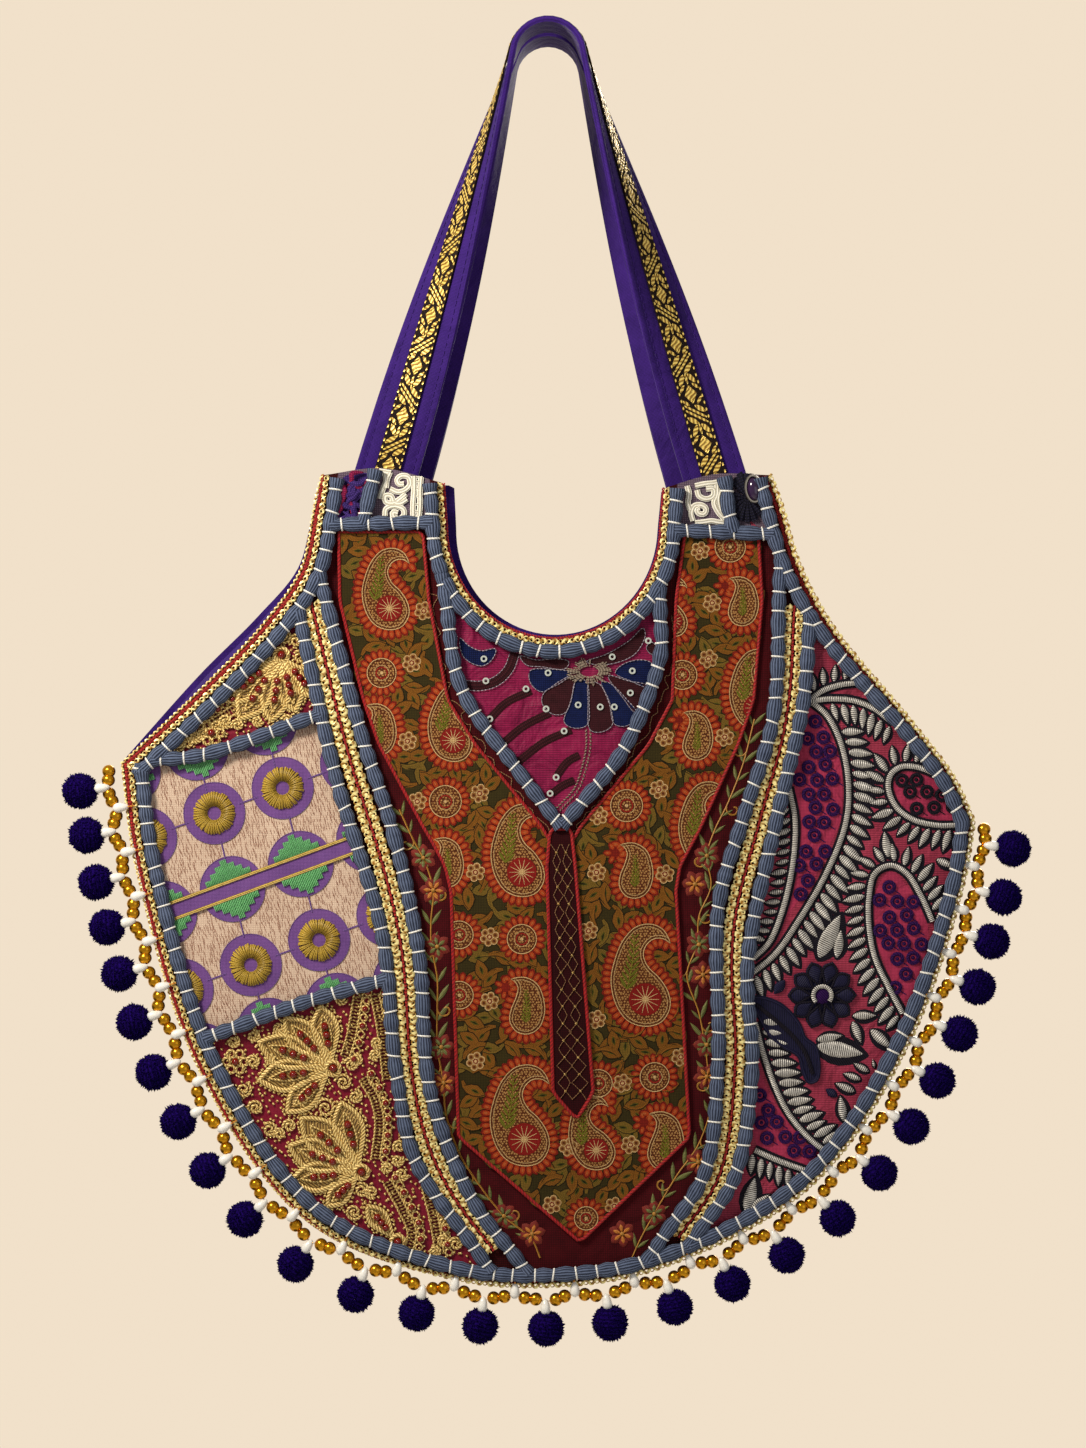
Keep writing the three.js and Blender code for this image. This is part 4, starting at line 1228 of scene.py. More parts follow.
HOOK_AT = (-0.33, 0.33)
# Columns: share of the lobe, how far out, level, ink.
LOBES = [(1.25, 0.0, 3, "rust"), (0.74, 0.4, 3.5, "orange"), (0.34, 0.6, 3.8, "apricot")]
# Columns: share of the rosette, ink, width.
ROSETTE_RINGS = [(0.96, "cream", 0.6), (0.86, "umber", 0.45), (0.5, "cream", 0.4), (0.36, "red", 1.0)]


def stippled(loop, hollow):
    spots = grid_inside(loop, 1.45, 0.9)
    spots = spots + rng.normal(0, 0.2, spots.shape)
    return printed(disc(0.6, 4), spots[~within(spots, hollow)], 5, "stipple")


def scallops(loop, every, radius):
    spots = closed_loop(grown(loop, radius * 0.7), every)
    out = grown(spots, 1.0) - spots
    angle = np.arctan2(out[:, 1], out[:, 0])
    lobe = disc(radius, 8) * (1.4, 0.8)
    return [
        printed(lobe * share, spots + out * past, level, tone, angle)
        for share, past, level, tone in LOBES
    ]


def starburst(at, radius):
    rays = at + polar(spokes(14))[:, None] * np.linspace(0.15, 0.85, 3)[:, None] * radius
    return [
        printed(disc(radius, 20), [at], 6, "red"),
        couched(rays, [0.6, 0.45, 0.3], 0.1, ink(7), INK["cream"], 4, print_edge),
        printed(disc(radius * 0.17, 8), [at], 8, "cream"),
    ]


def feather(at, tall, angle):
    t = np.linspace(0.0, 1.0, 9)
    spine = turned(np.column_stack([np.sin(3 * t) * 0.03 * tall, (t - 0.5) * tall]), at, angle)
    made = [traced(spine, 0.7, 6, "plume", closed=False)]
    for side in (1, -1):
        slant = angle + math.pi / 2 - side * 0.65
        made.append(printed(leaf(0.28, 0.066), spine, 6.2, "plume", slant, tall * (1.05 - 0.55 * t)))
    return made


def paisley(at, tall, angle, shape):
    body = smooth(turned(shape, at, angle, tall), 2.0, closed=True)
    made = scallops(body, 3.1, 2.1)
    made.append(flooded(body, 4, "umber"))
    for inset, wide, tone in ((0.3, 0.6, "cream"), (1.0, 0.6, "umber"), (1.7, 0.4, "cream")):
        made.append(traced(grown(body, -inset), wide, 6, tone))
    if shape is BIG_SHAPE:
        plume, burst = turned([PLUME_AT, DISC_AT], at, angle, tall)
        made += feather(plume, tall * 0.5, angle - 0.14)
        made += starburst(burst, tall * 0.16)
        hollow = turned(disc(tall * 0.16, 20), burst)
    else:
        made += feather(np.array(at), tall * 0.5, angle)
        hook = turned(disc(tall * 0.075, 10), turned([HOOK_AT], at, angle, tall)[0])
        made += scallops(hook, 3.2, 1.7)
        made.append(flooded(hook, 4.2, "rust"))
        hollow = turned(disc(0.6, 6), at)
    made.append(stippled(body, hollow))
    return made


def rosette_print(at, radius):
    inner = radius * 0.72
    ring = turned(disc(inner, 36), at)
    made = scallops(ring, 2.9, 1.9)
    made.append(flooded(ring, 4, "umber"))
    for share, tone, wide in ROSETTE_RINGS:
        made.append(traced(turned(disc(inner * share, 30), at), wide, 6, tone))
    made.append(printed(disc(0.9, 8), [at], 7, "cream"))
    made.append(stippled(ring, turned(disc(1.2, 8), at)))
    return made


def little_flowers(spots):
    made = []
    for turn in spokes(6) + 0.3:
        petals = np.asarray(spots) + polar(turn) * 3.0
        for radius, level, tone in ((1.9, 4, "cream"), (1.35, 5, "tan"), (0.7, 6, "umber")):
            made.append(printed(disc(radius, 9), petals, level, tone))
    for radius, level, tone in ((1.3, 6, "rust"), (0.8, 7, "cream")):
        made.append(printed(disc(radius, 8), spots, level, tone))
    return made


# Columns: x, z, tall, lean.
BIG_PAISLEYS = [
    (-15, -410, 46, 0), (46, -472, 51, 0), (-14, -542, 51, 0), (21, -551, 38, 0.15), (-81, -280, 41, 0),
    (-48, -346, 40, -0.1), (102, -330, 40, 0), (77, -397, 42, 0), (61, -289, 30, 0),
]
# Columns: x, z, tall.
SMALL_PAISLEYS = [
    (43, -421, 29), (-11, -488, 30), (58, -556, 31), (-50, -417, 26), (-84, -351, 27), (97, -287, 26),
    (74, -354, 26),
]
# Columns: x, z, radius.
ROSETTES = [
    (-13, -454, 10.5), (53, -523, 10.5), (-51, -386, 11.5), (39, -388, 11.5), (19, -594, 8.5),
    (-44, -452, 10), (-44, -482, 10), (25, -526, 10), (-83, -322, 10.5), (91, -259, 11), (67, -323, 10.5),
]
# Columns: x, z.
FLOWERS = [
    (-36, -421), (24, -421), (58, -422), (-29, -453), (20, -450), (-29, -485), (24, -494), (-36, -515),
    (37, -526), (10, -558), (41, -557), (2, -587), (33, -588), (25, -393), (66, -513), (-68, -317),
    (-70, -356), (-34, -382), (-65, -386), (-62, -291), (76, -261), (82, -287), (80, -315), (58, -354),
    (88, -354), (55, -380),
]
for x, z, tall, angle in BIG_PAISLEYS:
    inks += paisley((x, z), tall, angle, BIG_SHAPE)
for x, z, tall in SMALL_PAISLEYS:
    inks += paisley((x, z), tall, 0.0, SMALL_SHAPE)
for x, z, radius in ROSETTES:
    inks += rosette_print((x, z), radius)
inks += little_flowers(FLOWERS)
make_piece("paisley_print", inks)
make_piece("panel_piping", [piping(print_loop, PRINT_LIFT)])

# %% [markdown]
# ## Placket
# Below the yoke's point a narrow dark band is laid with a lattice of gold thread, with a knot at each
# crossing.

# %% Placket
placket_velvet = woven("dark placket velvet", "#180205", "#36050a", 0.9, 0.95, 0.1)
floss_tan = spun("tan silk floss", "#553420", "#946c42", 0.7, 0.6, 0.1)
PLACKET_AT = 5.1
PLACKET_TOP = 6.1
PLACKET_LIFT = PLACKET_TOP - PATCH_TOP
LATTICE_TURNS = 15
LATTICE_STEPS = 8
# Columns: the first and the last value of x, z and the half width of a lane.
LATTICE_SPAN = [(6.2, 12.6), (-407, -534), (4.6, 7.4)]
placket_places, placket_faces = sheet_faces(placket_loop, GRID)
sew_patch("placket_band", "placket", placket_faces, PLACKET_AT, PLACKET_TOP, placket_velvet,
          placket_places)
placket_threads = [piping(placket_loop, PLACKET_LIFT)]
s = np.linspace(0, LATTICE_TURNS, LATTICE_TURNS * LATTICE_STEPS + 1)
corners = s[::LATTICE_STEPS]
x, z, half = (np.linspace(first, last, len(s)) for first, last in LATTICE_SPAN)
for lane, phase in ((-1, 0), (-1, 1), (1, 0), (1, 1)):
    uneven = np.interp(s, corners, rng.uniform(0.65, 1.2, len(corners)))
    swing = lane * 0.5 + (np.abs((s + phase) % 2 - 1) - 0.5) * uneven
    thread = np.column_stack([x + swing * half, z])
    crossings = thread[LATTICE_STEPS // 2 :: LATTICE_STEPS]
    placket_threads.append(couched(thread, 0.4, 0.4, PLACKET_LIFT + 0.3, floss_tan, 4))
    placket_threads.append(copies(disc(0.7, 7), crossings, PLACKET_LIFT + 0.2, 0.8, zari_gold, rings=2))
make_piece("placket_lattice", placket_threads)

# %% [markdown]
# ## Vine on the velvet
# A border vine is chain-stitched on the velvet: an ochre stem, olive leaves in pairs, red and gold flowers,
# and curls. Satin leaves are domes whose threads lie across their length.

# %% Vine on the velvet
floss_ochre = spun("ochre silk floss", "#6e4a16", "#c48a34", 0.7, 0.5, 0.12, way="X")
floss_olive = spun("olive silk floss", "#3a3c18", "#787a38", 0.7, 0.5, 0.12, way="X")
floss_red = spun("red silk floss", "#4c0a08", "#86220e", 0.7, 0.75, 0.12, way="X")
floss_orange = spun("orange silk floss", "#8a440c", "#cc8024", 0.7, 0.5, 0.12, way="X")
LEAF_EVERY = 8
CURL_EVERY = 24
# Columns of both stems: x, z.
VINE_LEFT = [
    (-74, -390), (-67, -405), (-62, -414), (-57, -430), (-58, -444), (-58, -456), (-55, -474), (-55, -488),
    (-55, -508), (-52, -526), (-51, -541), (-44, -562), (-36, -575), (-22, -593), (-8, -605), (-4, -614),
]
VINE_RIGHT = [
    (103, -345), (97, -368), (89, -388), (83, -400), (79, -413), (81, -428), (75, -443), (74, -457),
    (69, -472), (75, -491), (78, -507), (80, -523), (81, -538), (75, -557), (64, -573), (53, -592),
    (46, -605), (42, -614),
]
# Columns: x, z, 1 for an olive heart or 0 for an orange one.
VINE_FLOWERS = [
    (-62, -414, 1), (-57, -430, 0), (-55, -458, 1), (-53, -508, 1), (-52, -526, 0), (79, -413, 1),
    (73, -427, 0), (75, -457, 1), (77, -472, 0), (79, -507, 1), (79, -523, 0), (-22, -593, 1), (-8, -602, 0),
    (53, -592, 1), (37, -602, 0), (75, -566, 0),
]


def vine(points):
    stem = smooth(points, 1.2)
    side = sideways(stem)
    made = [couched(stem, 0.8, 0.7, 0.2, floss_ochre)]
    pick = np.arange(3, len(stem) - 3, LEAF_EVERY)
    for hand in (1, -1):
        angle = heading_of(stem)[pick] + math.pi - hand * 0.55
        size = rng.uniform(0.7, 1.2, len(pick))
        made.append(copies(leaf(9.6, 2.1), stem[pick], 0.05, 0.55, floss_olive, angle, size, rings=2))
    t = np.linspace(0, 5.2, 18)
    radius = 3.9 - 0.58 * t[:, None]
    for i in range(14, len(stem) - 10, CURL_EVERY):
        hand = 1 if (i // CURL_EVERY) % 2 else -1
        start = math.atan2(*(-side[i] * hand)[::-1])
        curl = stem[i] + side[i] * hand * 4.0 + polar(start + hand * t) * radius
        made.append(couched(curl, 0.8, 0.7, 0.25, floss_ochre))
    return made


def vine_flower(x, z, kind):
    turn = spokes(6) + rng.uniform(0, 1)
    at = np.tile([[x, z]], (6, 1))
    inner = floss_olive if kind else floss_orange
    return [
        copies(leaf(7.0, 4.8, 0.62), at, 0.1, 0.7, floss_red, turn, rings=2),
        copies(leaf(5.4, 2.2, 0.62), at, 0.5, 0.4, inner, turn, rings=2),
        copies(disc(1.1, 8), [(x, z)], 0.8, 0.6, floss_ochre, rings=2),
    ]


vines = vine(VINE_LEFT) + vine(VINE_RIGHT)
for x, z, kind in VINE_FLOWERS:
    vines += vine_flower(x, z, kind)
make_piece("velvet_vine", vines)

# %% [markdown]
# ## Yoke applique
# The yoke is magenta silk with navy and plum petals laid on it, white running stitch round each, plum strips,
# a chain-stitched stem and ring sequins. An applique is a cloth shape a little above the silk, so its edge
# casts a shadow.

# %% Yoke applique
navy_cloth = woven("navy velveteen applique", "#030720", "#122056", 1.0, 0.9, 0.2, 0.1, mottle=5)
plum_cloth = woven("plum velveteen applique", "#1c070b", "#441820", 1.0, 0.9, 0.2, 0.1, mottle=5)
sequin_paint = polished("pearl sequin", "#dfe6dc", 0.2, 0.35)
pale_stitch = spun("pale lilac stitching", "#665e6c", "#b0a8b2", 0.8, 0.75, 0.1)
beige_floss = spun("beige cotton floss", "#54463c", "#988876", 0.7, 0.75, 0.15)
CLOTHS = {"navy": navy_cloth, "plum": plum_cloth}
# Columns: cloth, places x and z round the petal.
YOKE_PETALS = [
    ("navy", [(-44, -304.5), (-39.5, -308.5), (-33.5, -311), (-26, -310), (-28, -315.5), (-32.5, -318.5),
        (-37.5, -317.5), (-42.5, -313.5)]),
    ("navy", [(-9, -321), (-1, -320), (11.5, -322), (4.5, -327), (-3, -331.5), (-8.5, -327.5)]),
    ("plum", [(13, -323.5), (12, -333), (8.5, -342), (2, -342.5), (-3, -337), (-2, -332), (5.5, -327.5)]),
    ("navy", [(14, -326), (19, -326), (20.5, -337), (19.5, -348), (12.5, -349.5), (8, -346.5), (11.5, -336)]),
    ("plum", [(20.5, -327), (25.5, -327.5), (30, -336), (32, -348), (26.5, -351.5), (21, -350.5),
        (20, -337)]),
    ("navy", [(26.5, -326.5), (30.5, -327), (39, -335), (45, -343.5), (39, -348.5), (33, -347.5),
        (30.5, -336)]),
    ("plum", [(30, -323.5), (40, -326), (50.5, -329), (48.5, -338.5), (44, -342), (37, -334)]),
    ("navy", [(33.5, -322), (37, -318), (46, -315.5), (52, -317.5), (50.5, -329), (41, -326)]),
    ("plum", [(19, -316.5), (29.5, -312.5), (41, -305.5), (47.5, -299.5), (48.5, -303.5), (43.5, -312.5),
        (34, -317), (24.5, -318)]),
    ("plum", [(-14, -313.5), (-6, -315.5), (5.5, -315), (10.5, -316.5), (8.5, -320), (-3, -319),
        (-11, -318)]),
    ("plum", [(51.5, -306.5), (55, -310.5), (52, -313), (49, -309.5)]),
]
# Each strip is the places x and z along its middle.
YOKE_STRIPS = [
    [(-42.5, -328), (-33.5, -328.5), (-25.5, -326), (-19.5, -320), (-16.5, -312)],
    [(-30, -346), (-21, -337), (-8.5, -331)],
    [(-23.5, -358), (-12, -348.5), (1, -342)],
    [(-14.5, -366), (-2, -356.5), (11.5, -350.5)],
    [(4.5, -373), (9.5, -366.5), (15.5, -363)],
    [(2, -382), (7.5, -378), (13, -375.5)],
]
# Columns: x, z.
YOKE_SEQUINS = [
    (-32, -315), (-31, -326), (-11, -330), (-29, -345), (-1, -340), (-22, -358), (8, -351), (4, -374),
    (1, -382), (0, -322), (15, -338), (42, -321), (41, -332), (33, -339), (26, -339), (32, -314), (50, -306),
]
YOKE_STEM = [(20, -350), (20, -359), (18, -369), (14, -380), (6, -389)]
YOKE_HUB = (20.5, -321.3)
HUB_THREADS = 80
yoke_cut = patch_loop(patches["yoke"])
print("yoke seam", len(yoke_cut), "points")

# %% [markdown]
# ## Yoke stitches
# A running stitch dips under the cloth between its dashes, so each dash is a short strand that is a little
# higher in its middle. One function sews a whole petal.

# %% Yoke stitches
FINE_STEP = 0.25
RUN_EVERY = 1.9
RUN_LONG = 1.5


def running_stitch(line, lift, paint, cut):
    fine = evenly(line, FINE_STEP)
    starts = np.arange(0, len(fine) - RUN_LONG / FINE_STEP - 1, RUN_EVERY / FINE_STEP).astype(int)
    pick = starts[:, None] + np.linspace(0, RUN_LONG / FINE_STEP, 4).astype(int)
    return couched(fine[pick], 0.42, 0.5, lift + np.array([0, 0.25, 0.25, 0]), paint, 5, cut)


def applique(points, paint, cut, lift):
    shape = smooth(points, 1.5, closed=True)
    return [
        filled(shape, lift, paint, cut, 4.0),
        couched(grown(shape, -0.2), 0.7, 0.6, lift - 0.15, paint, 5, cut, closed=True),
        running_stitch(np.vstack([shape, shape[:1]]), lift + 0.2, pale_stitch, cut),
    ]


yoke_work = []
for shade, points in YOKE_PETALS:
    yoke_work += applique(points, CLOTHS[shade], yoke_cut, 0.5)
for number, points in enumerate(YOKE_STRIPS):
    strip = smooth(points, 1.2)
    wide = 4.2 if number else 4.8
    yoke_work.append(couched(strip, wide, 0.7, 0.3, plum_cloth, 8, yoke_cut))
    for side in () if number else (-2.4, 2.4):
        yoke_work.append(running_stitch(shifted(strip, side), 0.6, pale_stitch, yoke_cut))
sequins = np.array(YOKE_SEQUINS)[:, None] + disc(1.25, 12)
yoke_work.append(couched(sequins, 1.0, 0.5, 1.1, sequin_paint, 6, closed=True))
around = polar(rng.uniform(0, 2 * math.pi, HUB_THREADS))
near = around * (4.8, 2.6) + YOKE_HUB
far = near + around * (6.4, 3.6) * rng.uniform(0.5, 1.1, (HUB_THREADS, 1)) + rng.normal(0, 0.7, near.shape)
hub_paths = np.stack([near, (near + far) / 2 + rng.normal(0, 0.3, near.shape), far], 1)
hub_lift = np.array([0.9, 1.4, 0.9])
yoke_work.append(couched(hub_paths, 0.7, 0.6, hub_lift, beige_floss, 4, yoke_cut))
stem = smooth(YOKE_STEM, 1.7)
for hand in (-0.55, 0.55):
    angle = heading_of(stem) + hand
    yoke_work.append(copies(leaf(1.9, 0.9), shifted(stem, hand), 0.1, 0.5, beige_floss, angle, rings=2))
for name in ("yoke_left", "yoke_right"):
    beside_cord = evenly(shifted(lines[name], -6.2), 2.4)
    scribble = smooth(beside_cord + rng.normal(0, 1.0, beside_cord.shape), 0.9)
    yoke_work.append(couched(scribble, 0.55, 0.5, 0.3, floss_tan, 4))
make_piece("yoke_applique", yoke_work)

# %% [markdown]
# ## Cream patch
# Lilac discs sit in a slanting grid on cream cotton that is filled with tiny brown darning stitches. Odd rows
# carry a padded mustard ring, whose satin threads run outwards. The middle row is crossed by a band with
# green stepped bars.

# %% Cream patch
lilac_cloth = woven("lilac cotton applique", "#54366e", "#82589e", 0.7, 0.8, 0.08)
lilac_thread = spun("lilac thread", "#4a2e66", "#6e4c8e", 0.7, 0.7, 0.1)
mustard_floss = spun("mustard silk floss", "#6a4e10", "#e0bc4a", 0.7, 0.42, 0.2, way="X")
green_floss = spun("leaf green silk floss", "#1e6c34", "#92e69a", 0.8, 0.45, 0.2, way="X")
brown_thread = spun("brown darning thread", "#7a4a3a", "#a87c66", 0.6, 0.8, 0.1)
GRID_START = np.array([-166.6, -392.0])
GRID_ALONG = np.array([34.2, 12.6])
GRID_DOWN = np.array([9.2, -37.8])
DISC_RADIUS = 15.4
RING_OUT = 10.2
RING_IN = 3.7
RING_THREADS = 48
BAND_HALF = 4.0
BAND_REACH = 1.9
BAR_STEPS = [2.8, 5.4, 8.0, 10.4, 8.0, 5.4, 2.8]
BARS_PER_STEP = 2
BAR_EVERY = 1.7
BAR_THREADS = (-0.42, 0.42)
DARNED = 0.62
ROW_NUDGE = {-1: (0, -5.0), 3: (0, 5.0)}
cream_cut = patch_loop(patches["patch_left_middle"])
along = unit(GRID_ALONG)
square = np.array([-along[1], along[0]])


def darning():
    spots = grid_inside(cream_cut, 1.7, 0.5)
    half = rng.uniform(0.7, 2.0, len(spots))[:, None]
    slant = unit(GRID_DOWN) + rng.normal(0, 0.05, spots.shape)
    spots = spots + rng.normal(0, 0.25, spots.shape)
    ends = np.stack([spots - slant * half, spots + slant * half], 1)
    keep = rng.uniform(0, 1, len(spots)) < DARNED
    return couched(ends[keep], 0.38, 0.3, 0.05, brown_thread, 3)


def satin_ring(at):
    turn = spokes(RING_THREADS) + rng.uniform(-0.25, 0.25, RING_THREADS) * 2 * math.pi / RING_THREADS
    span = np.linspace(0, 1, 6)
    radius = RING_IN + (RING_OUT + rng.uniform(-0.4, 0.4, RING_THREADS)[:, None] - RING_IN) * span
    threads = at + polar(turn)[:, None] * radius[..., None]
    lift = 0.4 + 2.0 * np.sin(math.pi * span) ** 0.7
    return couched(threads, np.linspace(0.65, 1.35, 6), 1.2, lift, mustard_floss, 5, cream_cut)


def stepped_bars(at, hand):
    heights = np.repeat(BAR_STEPS, BARS_PER_STEP)
    places = (np.arange(len(heights)) + 0.5 - len(heights) / 2) * BAR_EVERY
    shift = np.add.outer(places, BAR_THREADS).reshape(-1, 1, 1)
    tall = np.repeat(heights, len(BAR_THREADS))[:, None] * np.linspace(0, 1, 5)
    bars = at + along * shift + square * hand * (BAND_HALF + 0.8 + tall[..., None])
    lift = np.array([0.7, 1.2, 1.2, 1.2, 0.7])
    return couched(bars, 0.72, 1.0, lift, green_floss, 5, cream_cut)


cream_work = [darning()]
for row in range(-1, 4):
    for column in range(-2, 3):
        centre = GRID_START + GRID_ALONG * column + GRID_DOWN * row + ROW_NUDGE.get(row, (0, 0))
        banded = row % 2
        shape = turned(disc(DISC_RADIUS * (1.06 if banded else 1.0), 40), centre)
        if not within(shape, cream_cut).any():
            continue
        cream_work.append(filled(shape, 0.3, lilac_cloth, cream_cut))
        cream_work.append(couched(shape, 0.5, 0.5, 0.3, lilac_thread, 4, cream_cut, closed=True))
        for step in (GRID_ALONG, GRID_DOWN):
            link = np.linspace(centre + step * 0.36, centre + step * 0.64, 6)
            cream_work.append(couched(link, 0.9, 0.6, 0.25, lilac_thread, 5, cream_cut))
        if banded:
            cream_work += [stepped_bars(centre, hand) for hand in (1, -1)]
        else:
            cream_work.append(satin_ring(centre))
band_ends = GRID_START + GRID_DOWN + np.outer((-BAND_REACH, BAND_REACH), GRID_ALONG)
rails = {hand: band_ends + square * BAND_HALF * hand for hand in (1, -1)}
band = closed_loop(np.vstack([rails[-1], rails[1][::-1]]), 3)
cream_work.append(filled(band, 0.6, lilac_cloth, cream_cut))
for rail in rails.values():
    cream_work.append(couched(evenly(rail, 1.2), 1.9, 1.4, 0.9, mustard_floss, 6, cream_cut))
make_piece("lilac_discs", cream_work)

# %% [markdown]
# ## Gold embroidery
# Two crimson patches are thick with antique gold work: petals edged in heavy purl, rows of red glass beads in
# them, tiny gold picots round them, scrolls, coils and looped borders. Each kind of stitch is one function,
# and the tables say where it was worked.

# %% Gold embroidery
gold_pad = spun("gold thread padding", "#5a3a18", "#b49450", 1.0, 0.5, 0.35, 0.2)
GOLD_LIFT = 0.2
HUB_GAP = 3.5
LADDER_HALF = 2.2
# A flower is a hub and the tips of its petals, and a coil is x, z and radius.
GOLD_WORK = {
    "upper": {
        "flowers": [((-133, -313), [(-161, -336), (-154, -345), (-138, -346), (-126, -341), (-116, -334)])],
        "ladders": [[(-186, -357), (-175, -351), (-164, -345), (-155, -339)]],
        "coils": [(-161, -346, 3), (-185, -358, 3), (-176, -354, 2.6), (-155, -348, 2.6), (-149, -319, 2.8),
            (-145, -315, 2.6), (-141, -310, 2.6), (-126, -306, 3), (-124, -314, 2.8), (-122, -321, 2.6),
            (-132, -304, 3), (-140, -316, 2.6), (-160, -330, 2.4), (-130, -346, 2.6), (-180, -357, 2.6),
            (-145, -346, 2.4), (-155, -330, 2.2), (-121, -330, 2.4)],
        "loops": [(-168, -352)],
    },
    "lower": {
        "flowers": [
            ((-107, -519), [(-113, -488), (-131, -494), (-144, -506), (-144, -525), (-130, -541)]),
            ((-93, -571), [(-103, -536), (-123, -544), (-129, -558), (-128, -575), (-110, -588)]),
            ((-75, -606), [(-90, -588), (-85, -612)]),
        ],
        "ladders": [
            [(-94, -480), (-96, -492), (-98, -503), (-101, -513)],
            [(-92, -524), (-86, -535), (-84, -546), (-86, -564)],
            [(-80, -576), (-73, -589), (-68, -601), (-70, -612)],
            [(-86, -482), (-83, -498), (-80, -524)],
            [(-61, -577), (-57, -594), (-54, -612)],
        ],
        "coils": [(-152, -530, 3.4), (-146, -539, 3.4), (-139, -550, 3.2), (-129, -548, 2.8),
            (-134, -552, 2.6), (-111, -539, 4.2), (-96, -533, 3), (-122, -535, 2.4), (-139, -515, 2.2),
            (-147, -516, 2.8), (-97, -591, 3.4), (-102, -526, 3.6), (-98, -517, 3), (-95, -515, 2.6),
            (-85, -506, 2.6), (-86, -512, 2.4), (-74, -558, 2.8), (-75, -565, 2.6), (-73, -572, 2.8),
            (-80, -569, 2.4), (-93, -580, 3.2), (-88, -581, 2.8), (-51, -596, 3), (-46, -607, 3),
            (-52, -605, 2.6), (-56, -611, 2.4), (-157, -506, 2.6), (-147, -503, 2.6), (-134, -499, 2.6),
            (-103, -484, 2.6)],
        "loops": [(-156, -516)],
    },
}


def gold_cord(line, wide, high, cut, closed=False, lift=0.0):
    return couched(line, wide, high, GOLD_LIFT + lift + high / 2, zari_gold, 5, cut, closed)


def beads_on(spots, radius, lift, paint, cut):
    spots = np.asarray(spots)[within(spots, cut)]
    rounds = 3 if radius > 1.5 else 2
    return copies(disc(radius, 3 * rounds), spots, GOLD_LIFT + lift, radius * 1.5, paint, rings=rounds)


def gold_petal(hub, tip, cut):
    hub = np.array(hub)
    way = tip - hub
    long = np.linalg.norm(way) - HUB_GAP
    angle = math.atan2(way[1], way[0])
    start = hub + unit(way) * HUB_GAP
    shape = turned(leaf(long, long * 0.44, 0.6, 15), start, angle)
    inner = turned(leaf(long * 0.74, long * 0.16, 0.55, 12), start + way * 0.1, angle)
    pad = leaf(long, long * 0.44, 0.6, 18)
    picots = grown(shape, 1.9)
    picots = evenly(np.vstack([picots, picots[:1]]), 2.5)
    return [
        copies(pad, [start], GOLD_LIFT, 0.8, gold_pad, angle, rings=3, cut=cut),
        gold_cord(shape, 2.5, 2.0, cut, True),
        gold_cord(inner, 1.0, 1.0, cut, True, 0.7),
        beads_on(picots, 0.9, 0.0, zari_gold, cut),
        beads_on(hub + way * np.linspace(0.4, 0.68, 3)[:, None], 2.1, 0.8, bead_red, cut),
    ]


def coil(at, radius, cut):
    t = np.linspace(0, 11, 26)
    grow = radius * (0.2 + 1.0 * t / t[-1])
    return gold_cord(polar(t + rng.uniform(0, 6)) * grow[:, None] + at, 1.5, 1.5, cut)


def loop_flower(at, cut):
    loops = turned(disc(4.4, 6), at)[:, None] + disc(2.0, 10)
    return [gold_cord(loops, 1.5, 1.5, cut, True), beads_on([at], 2.1, 0.4, bead_red, cut)]


def ladder(points, cut):
    line = smooth(points, 1.0)
    rung = evenly(line, 1.7)
    reach = sideways(rung) * LADDER_HALF
    loops = evenly(shifted(line, 4.6), 4.2)
    rings = loops[within(loops, cut)][:, None] + disc(1.75, 12)
    return [gold_cord(shifted(line, side), 1.0, 1.2, cut) for side in (-LADDER_HALF, LADDER_HALF)] + [
        couched(np.stack([rung - reach, rung, rung + reach], 1), 1.0, 0.8, GOLD_LIFT + 0.5, gold_pad, 4, cut),
        gold_cord(rings, 1.0, 1.2, cut, True),
        beads_on(loops[::2], 1.7, 0.3, bead_red, cut),
    ]


for key, sewn in GOLD_WORK.items():
    cut = patch_loop(patches["patch_left_" + key])
    work = []
    for hub, tips in sewn["flowers"]:
        for tip in tips:
            work += gold_petal(hub, tip, cut)
        work.append(gold_cord(turned(disc(3.4, 20), hub), 2.4, 2.2, cut, True))
        work.append(beads_on([hub], 2.2, 0.4, bead_red, cut))
    for points in sewn["ladders"]:
        work += ladder(points, cut)
    for x, z, radius in sewn["coils"]:
        if within([(x, z)], cut)[0]:
            work.append(coil((x, z), radius, cut))
    for at in sewn["loops"]:
        work += loop_flower(at, cut)
    crumbs = grid_inside(cut, 3.3, 2.5)
    crumbs = crumbs + rng.normal(0, 0.9, crumbs.shape)
    work.append(beads_on(crumbs, 0.75, -0.1, zari_gold, cut))
    make_piece("goldwork_" + key, work)

# %% [markdown]
# ## Rose patch
# Spines of silver purl sweep over rose silk, each with a fringe of silver leaves edged in black, the black
# set lower and to the right so that it is also a painted shadow. Fields of coiled indigo knots lie between
# them, and a ten-petalled dark flower sits low in the middle.

# %% Rose patch
zari_silver = spun("worn silver purl", "#423e3c", "#dedad2", 0.9, 0.42, 0.3, 0.25, way="Y")
satin_silver = spun("silver satin stitch", "#3a3634", "#e4e0d8", 1.0, 0.42, 0.3, 0.25, way="X")
field_silk = woven("plum shot silk", "#761a38", "#c63e60", 0.7, 0.55, 0.06, 0.1, folds=3)
black_thread = spun("black cotton thread", "#08070c", "#1e1a26", 0.7, 0.8, 0.1, gloss=0.12)
indigo_thread = spun("indigo cotton thread", "#16042c", "#341050", 0.7, 0.75, 0.15, gloss=0.12)
midnight_floss = spun("midnight silk floss", "#07071a", "#1c1a3e", 0.9, 0.6, 0.25, gloss=0.2, way="X")
